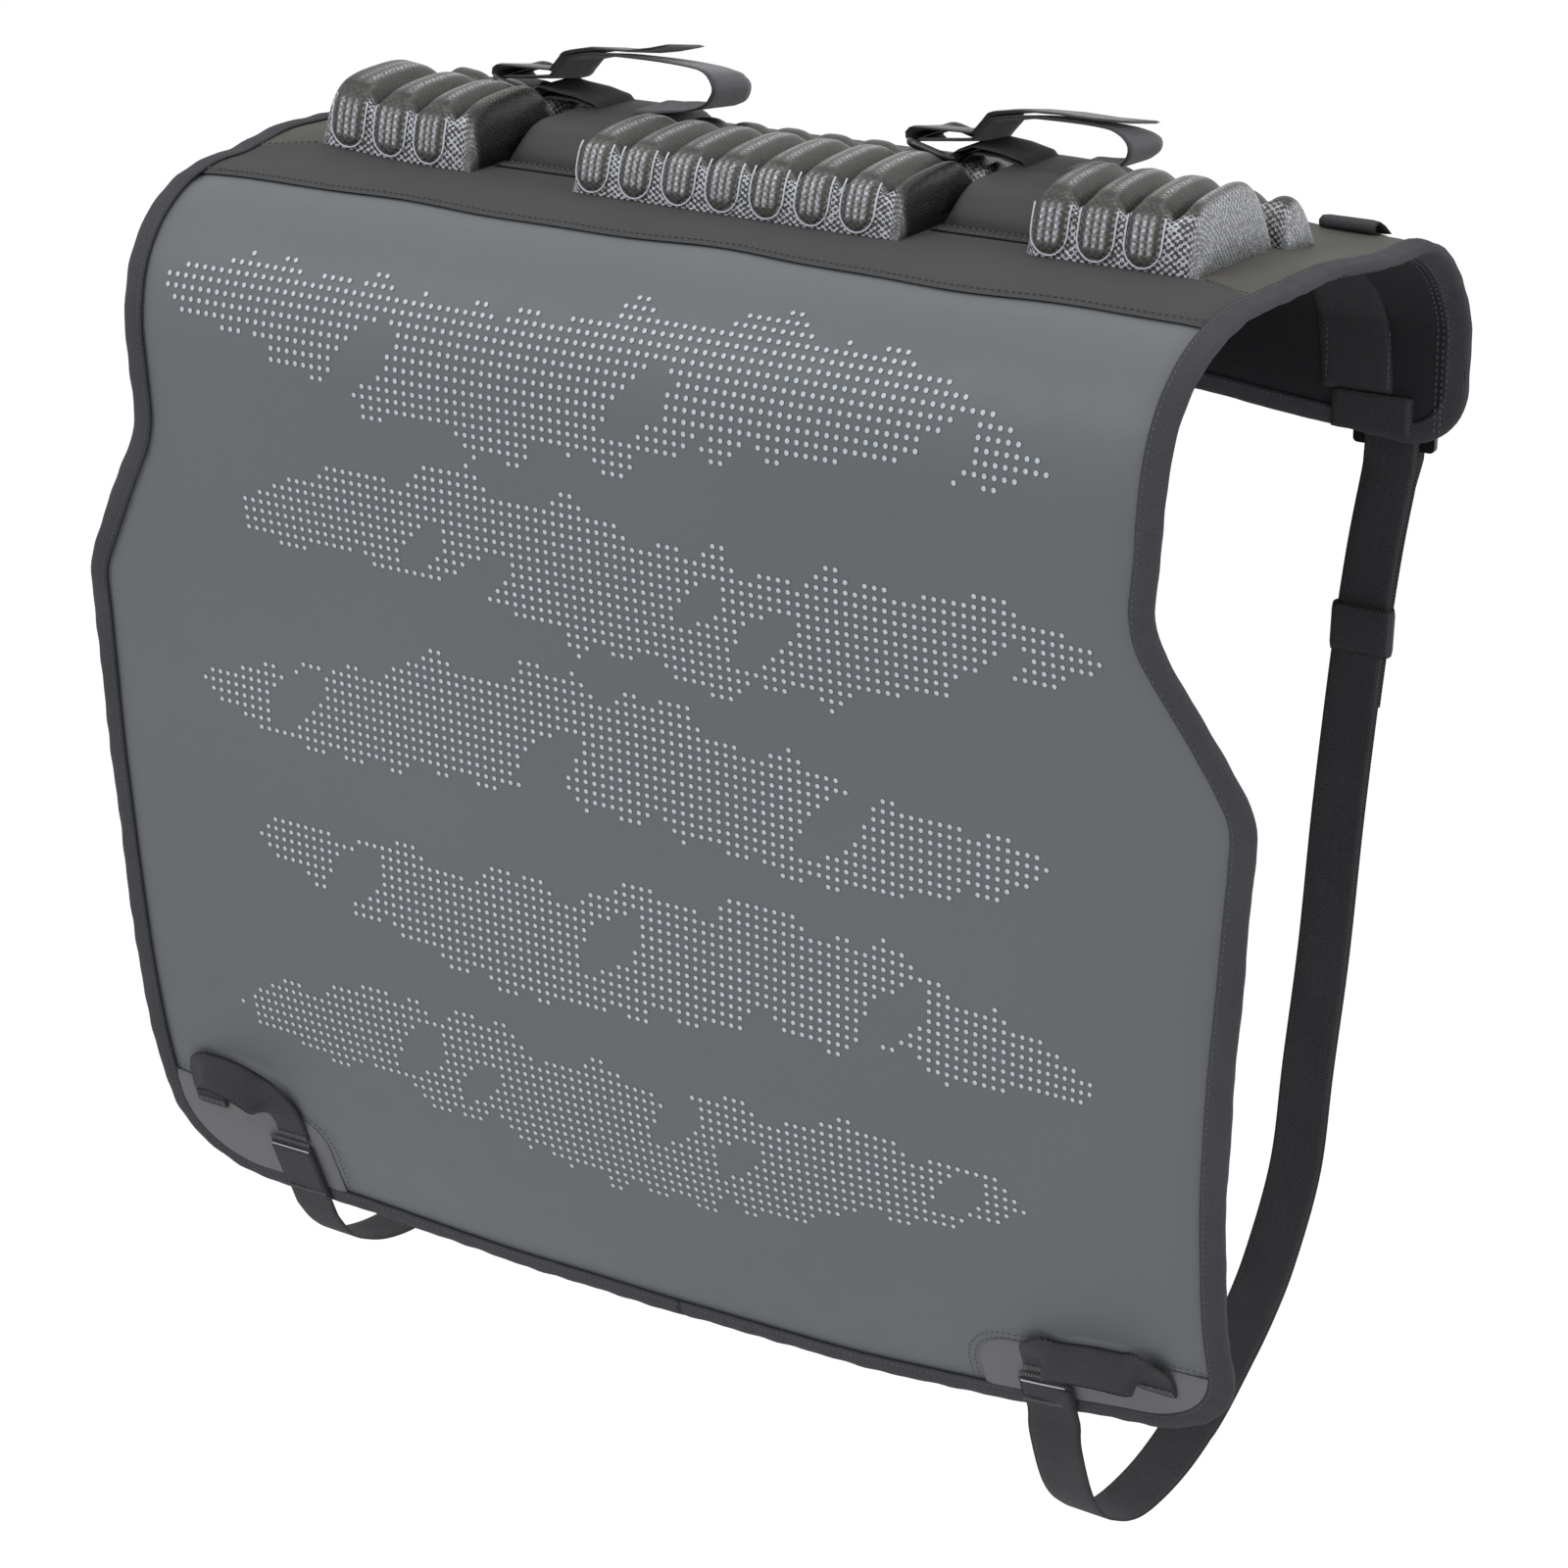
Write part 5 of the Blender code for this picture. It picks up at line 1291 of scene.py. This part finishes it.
def add_anchors():
    behind, frame_y, bars = buckle_levels()
    over = 3 * GAP + 0.0004
    turn = math.hypot(BUCKLE_THICKNESS, BUCKLE_BAR) / 2 + 2 * GAP + TAB_WEBBING / 2
    level = bars[0] - BUCKLE_BAR / 2 + BUCKLE_BELOW_EDGE
    last = hang.length - (bars[2] - level) - 0.014
    first = last - ANCHOR_LENGTH
    for side, sign in SIDES.items():
        x = sign * STRAP_REAR_X
        top = [hang.place(x, first + s, over + h)[0] for s, h in (
            (0.016, 0.0018), (0.007, 0.0046), (0.0, 0.0063), (-0.005, 0.0043), (-0.004, 0.0010))]
        sewn = list(hang.place(np.full(30, x), np.linspace(first + 0.003, last, 30), over))
        wrap = [np.array([x, frame_y + turn * math.cos(a), bars[2] + turn * math.sin(a)])
                for a in np.radians(np.linspace(160.0, 380.0, 12))]
        back = list(hang.place(np.full(3, x), last - np.array([0.004, 0.020, 0.034]), over + 0.0018))
        path = resample(np.array(top + sewn + wrap + back), 0.0025)
        anchor = ribbon(f"anchor_webbing_{side}", path, CROSSWISE, STRAP_WIDTH, TAB_WEBBING)
        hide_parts(f"anchor_{side}")
        buckle = bpy.data.objects[f"buckle_{side}"]
        buckle.data.materials.clear()
        buckle.data.materials.append(LOOKS["plastic"])
        bevel = buckle.modifiers.new("Edges", "BEVEL")
        bevel.width = 0.0007
        bevel.segments = 3


def add_flap_pieces():
    inside = -THICK - 0.0014
    low = hang.length - 0.0065
    for side, sign in SIDES.items():
        s = np.linspace(low - REAR_PATCH_LENGTH - BAND_LENGTH, low - REAR_PATCH_LENGTH - 0.0003, 24)
        drift_in = 0.010 * np.linspace(1.0, 0.0, 24) ** 1.5
        band = ribbon(f"flap_webbing_{side}", hang.place(sign * (BAND_X - drift_in), s, inside), CROSSWISE,
                      BAND_WIDTH, 0.0014, columns=11)
        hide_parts(f"flap_band_{side}")
        s = np.linspace(low - REAR_PATCH_LENGTH, low, 9)
        patch = ribbon(f"flap_square_{side}", hang.place(np.full(9, sign * REAR_PATCH_X), s, inside - 0.0006),
                       CROSSWISE, REAR_PATCH_WIDTH, WEBBING, columns=11)
        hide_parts(f"flap_patch_{side}")
        runs = []
        for x, a, b in ((sign * BAND_X - 0.0175, low - 0.060, low - 0.026),
                        (sign * BAND_X + 0.0175, low - 0.060, low - 0.026),
                        (sign * 0.2885, low - 0.20, low - 0.004), (sign * 0.2855, low - 0.20, low - 0.004)):
            path, normals = surface_run([(x, a), (x, b)], inside - 0.0010 if abs(x) < 0.28 else -THICK - 0.0005)
            runs.append((path, -normals))
        stitches(f"flap_stitches_{side}", runs, "grey_thread")


def field_limits(field, across):
    middle = PRINT_SHIFT if field % 2 else -PRINT_SHIFT
    share = (across - middle) / PRINT_LENGTH + 0.5
    inside = (share > 0.0) & (share < 1.0)
    share = np.clip(share, 0.0, 1.0)
    center = PRINT_LOWEST + PRINT_PITCH * field + PRINT_WAVE * np.sin(2 * np.pi * (share * 1.4 + 0.3 * field))
    return center, np.where(inside, PRINT_HALF_WIDTH * np.sqrt(np.sin(np.pi * share)), -1.0)


def add_print():
    """Dots on a square lattice that fill the wavy fields."""
    grid = lattice(np.arange(-0.33, 0.33, DOT_PITCH), np.arange(0.03, SEAM - 0.004, DOT_PITCH))
    grid = grid[inside_polygon(grid, OUTLINE) & (distance_to(grid, OUTLINE) > TAPE_WIDTH + 0.003)]
    angles = np.linspace(0.0, 2 * np.pi, DOT_SIDES, endpoint=False)
    circle = np.stack([np.cos(angles), np.sin(angles)], axis=1) * DOT_RADIUS
    for field in range(PRINT_FIELDS):
        center, half = field_limits(field, grid[:, 0])
        x, s = grid.T
        ragged = 0.90 + 0.20 * np.sin(x * 83.0 + field) * np.sin(s * 71.0 + 2.0 * field) + 0.10 * np.sin(x * 211.0)
        bare = np.sin(x * 37.0 + 1.7 * field) + np.sin(s * 59.0 + 0.6 * field) + 0.5 * np.sin(x * 113.0 - s * 97.0)
        dots = grid[(np.abs(s - center) < half * ragged) & (bare < 1.75)]
        ring = (dots[:, None] + circle[None]).reshape(-1, 2)
        faces = [tuple(range(i * DOT_SIDES, (i + 1) * DOT_SIDES)) for i in range(len(dots))]
        obj = new_object(f"dots_{field + 1}", on_sheet(ring, 0.00040), faces, "ink")
        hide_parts(f"print_field_{field + 1}")


def add_seam_stitches():
    xs = np.linspace(-0.288, 0.288, 200)
    seam = np.stack([xs, seam_line(xs) + 0.0035], axis=1)
    stitches("seam_stitches", [surface_run(seam, 0.0011)], "thread")
    runs = []
    for low_x, high_x in ((-0.288, -0.262), (0.259, 0.288)):
        xs = np.linspace(low_x, high_x, 12)
        strip = np.stack([xs, strip_line(xs) + 0.0034], axis=1)
        runs.append(surface_run(strip, 0.0014))
    stitches("strip_stitches", runs, "thread")


def area_lamp(name, place, target, size, power):
    data = bpy.data.lights.new(name, "AREA")
    data.shape = "DISK"
    data.size = size
    data.energy = power
    lamp = linked(name, data)
    lamp.location = place
    lamp.rotation_euler = (Vector(target) - Vector(place)).to_track_quat("-Z", "Y").to_euler()


def shader_node(tree, kind, color, **values):
    made = tree.nodes.new(kind)
    made.inputs["Color"].default_value = (*color, 1.0)
    for name, value in values.items():
        made.inputs[name].default_value = value
    return made.outputs[0]


def join_shaders(tree, kind, *sources):
    made = tree.nodes.new(kind)
    for socket, source in zip(made.inputs, sources):
        tree.links.new(source, socket)
    return made.outputs[0]


def show_to(tree, rays, hidden, shown):
    """One shader for some kinds of ray and another for the rest."""
    path = tree.nodes.new("ShaderNodeLightPath")
    factor = path.outputs[rays[0]]
    for ray in rays[1:]:
        most = tree.nodes.new("ShaderNodeMath")
        most.operation = "MAXIMUM"
        tree.links.new(factor, most.inputs[0])
        tree.links.new(path.outputs[ray], most.inputs[1])
        factor = most.outputs[0]
    return join_shaders(tree, "ShaderNodeMixShader", factor, hidden, shown)


def add_world():
    """Soft light all round, with white behind the object."""
    world = bpy.data.worlds.new("Studio")
    bpy.context.scene.world = world
    world.use_nodes = True
    tree = world.node_tree
    tree.nodes.clear()
    soft = shader_node(tree, "ShaderNodeBackground", (0.96, 0.98, 1.0), Strength=WORLD_STRENGTH)
    white = shader_node(tree, "ShaderNodeBackground", (1.0, 1.0, 1.0))
    out = tree.nodes.new("ShaderNodeOutputWorld")
    rays = ("Is Camera Ray", "Is Transmission Ray", "Is Glossy Ray")
    tree.links.new(show_to(tree, rays, soft, white), out.inputs["Surface"])


def add_floor():
    """A pale floor that shows white, with the object's faint shadow."""
    mesh = bpy.data.meshes.new("floor")
    corners = ((-1, -1), (1, -1), (1, 1), (-1, 1))
    mesh.from_pydata([(x * FLOOR_REACH, y * FLOOR_REACH, FLOOR_LEVEL) for x, y in corners], [], [(0, 1, 2, 3)])
    floor = linked("floor", mesh)
    look = bpy.data.materials.new("floor")
    look.use_nodes = True
    tree = look.node_tree
    shader = tree.nodes["Principled BSDF"]
    shader.inputs["Base Color"].default_value = (0.80, 0.80, 0.80, 1.0)
    shader.inputs["Roughness"].default_value = 0.9
    glow = shader_node(tree, "ShaderNodeEmission", (0.90, 0.90, 0.90))
    shade = shader_node(tree, "ShaderNodeBsdfDiffuse", (0.14, 0.14, 0.14))
    both = join_shaders(tree, "ShaderNodeAddShader", glow, shade)
    seen = show_to(tree, ("Is Camera Ray",), shader.outputs[0], both)
    tree.links.new(seen, tree.nodes["Material Output"].inputs["Surface"])
    mesh.materials.append(look)


def add_camera():
    data = bpy.data.cameras.new("camera")
    data.sensor_width = CAMERA_SENSOR
    data.lens = CAMERA_LENS
    camera = linked("camera", data)
    turn, tilt, roll = (math.radians(v) for v in (CAMERA_TURN, CAMERA_TILT, CAMERA_ROLL))
    forward = Vector((-math.sin(turn) * math.cos(tilt), math.cos(turn) * math.cos(tilt), -math.sin(tilt)))
    right = forward.cross(Vector((0.0, 0.0, 1.0))).normalized()
    level = right * math.cos(roll) + forward.cross(right) * math.sin(roll)
    down = forward.cross(level)
    axes = Matrix((level, -down, -forward)).transposed().to_4x4()
    camera.matrix_world = Matrix.Translation(CAMERA_PLACE) @ axes
    bpy.context.scene.camera = camera
    bpy.context.scene.view_settings.view_transform = "Standard"


add_world()
add_floor()
area_lamp("key", (-1.6, -2.4, 2.6), (0.0, 0.0, -0.1), 1.2, 42.0)
area_lamp("top", (0.3, 0.6, 2.6), (0.0, 0.0, 0.0), 0.9, 9.0)
area_lamp("side", (2.8, 0.2, 1.0), (0.2, 0.0, -0.1), 1.0, 20.0)
add_camera()
add_skins()
add_foam_and_lining()
add_binding()
add_rests()
add_cradles()
add_bike_straps()
add_patches()
add_finger_loops()
add_hold_straps()
add_anchors()
add_flap_pieces()
add_print()
add_seam_stitches()
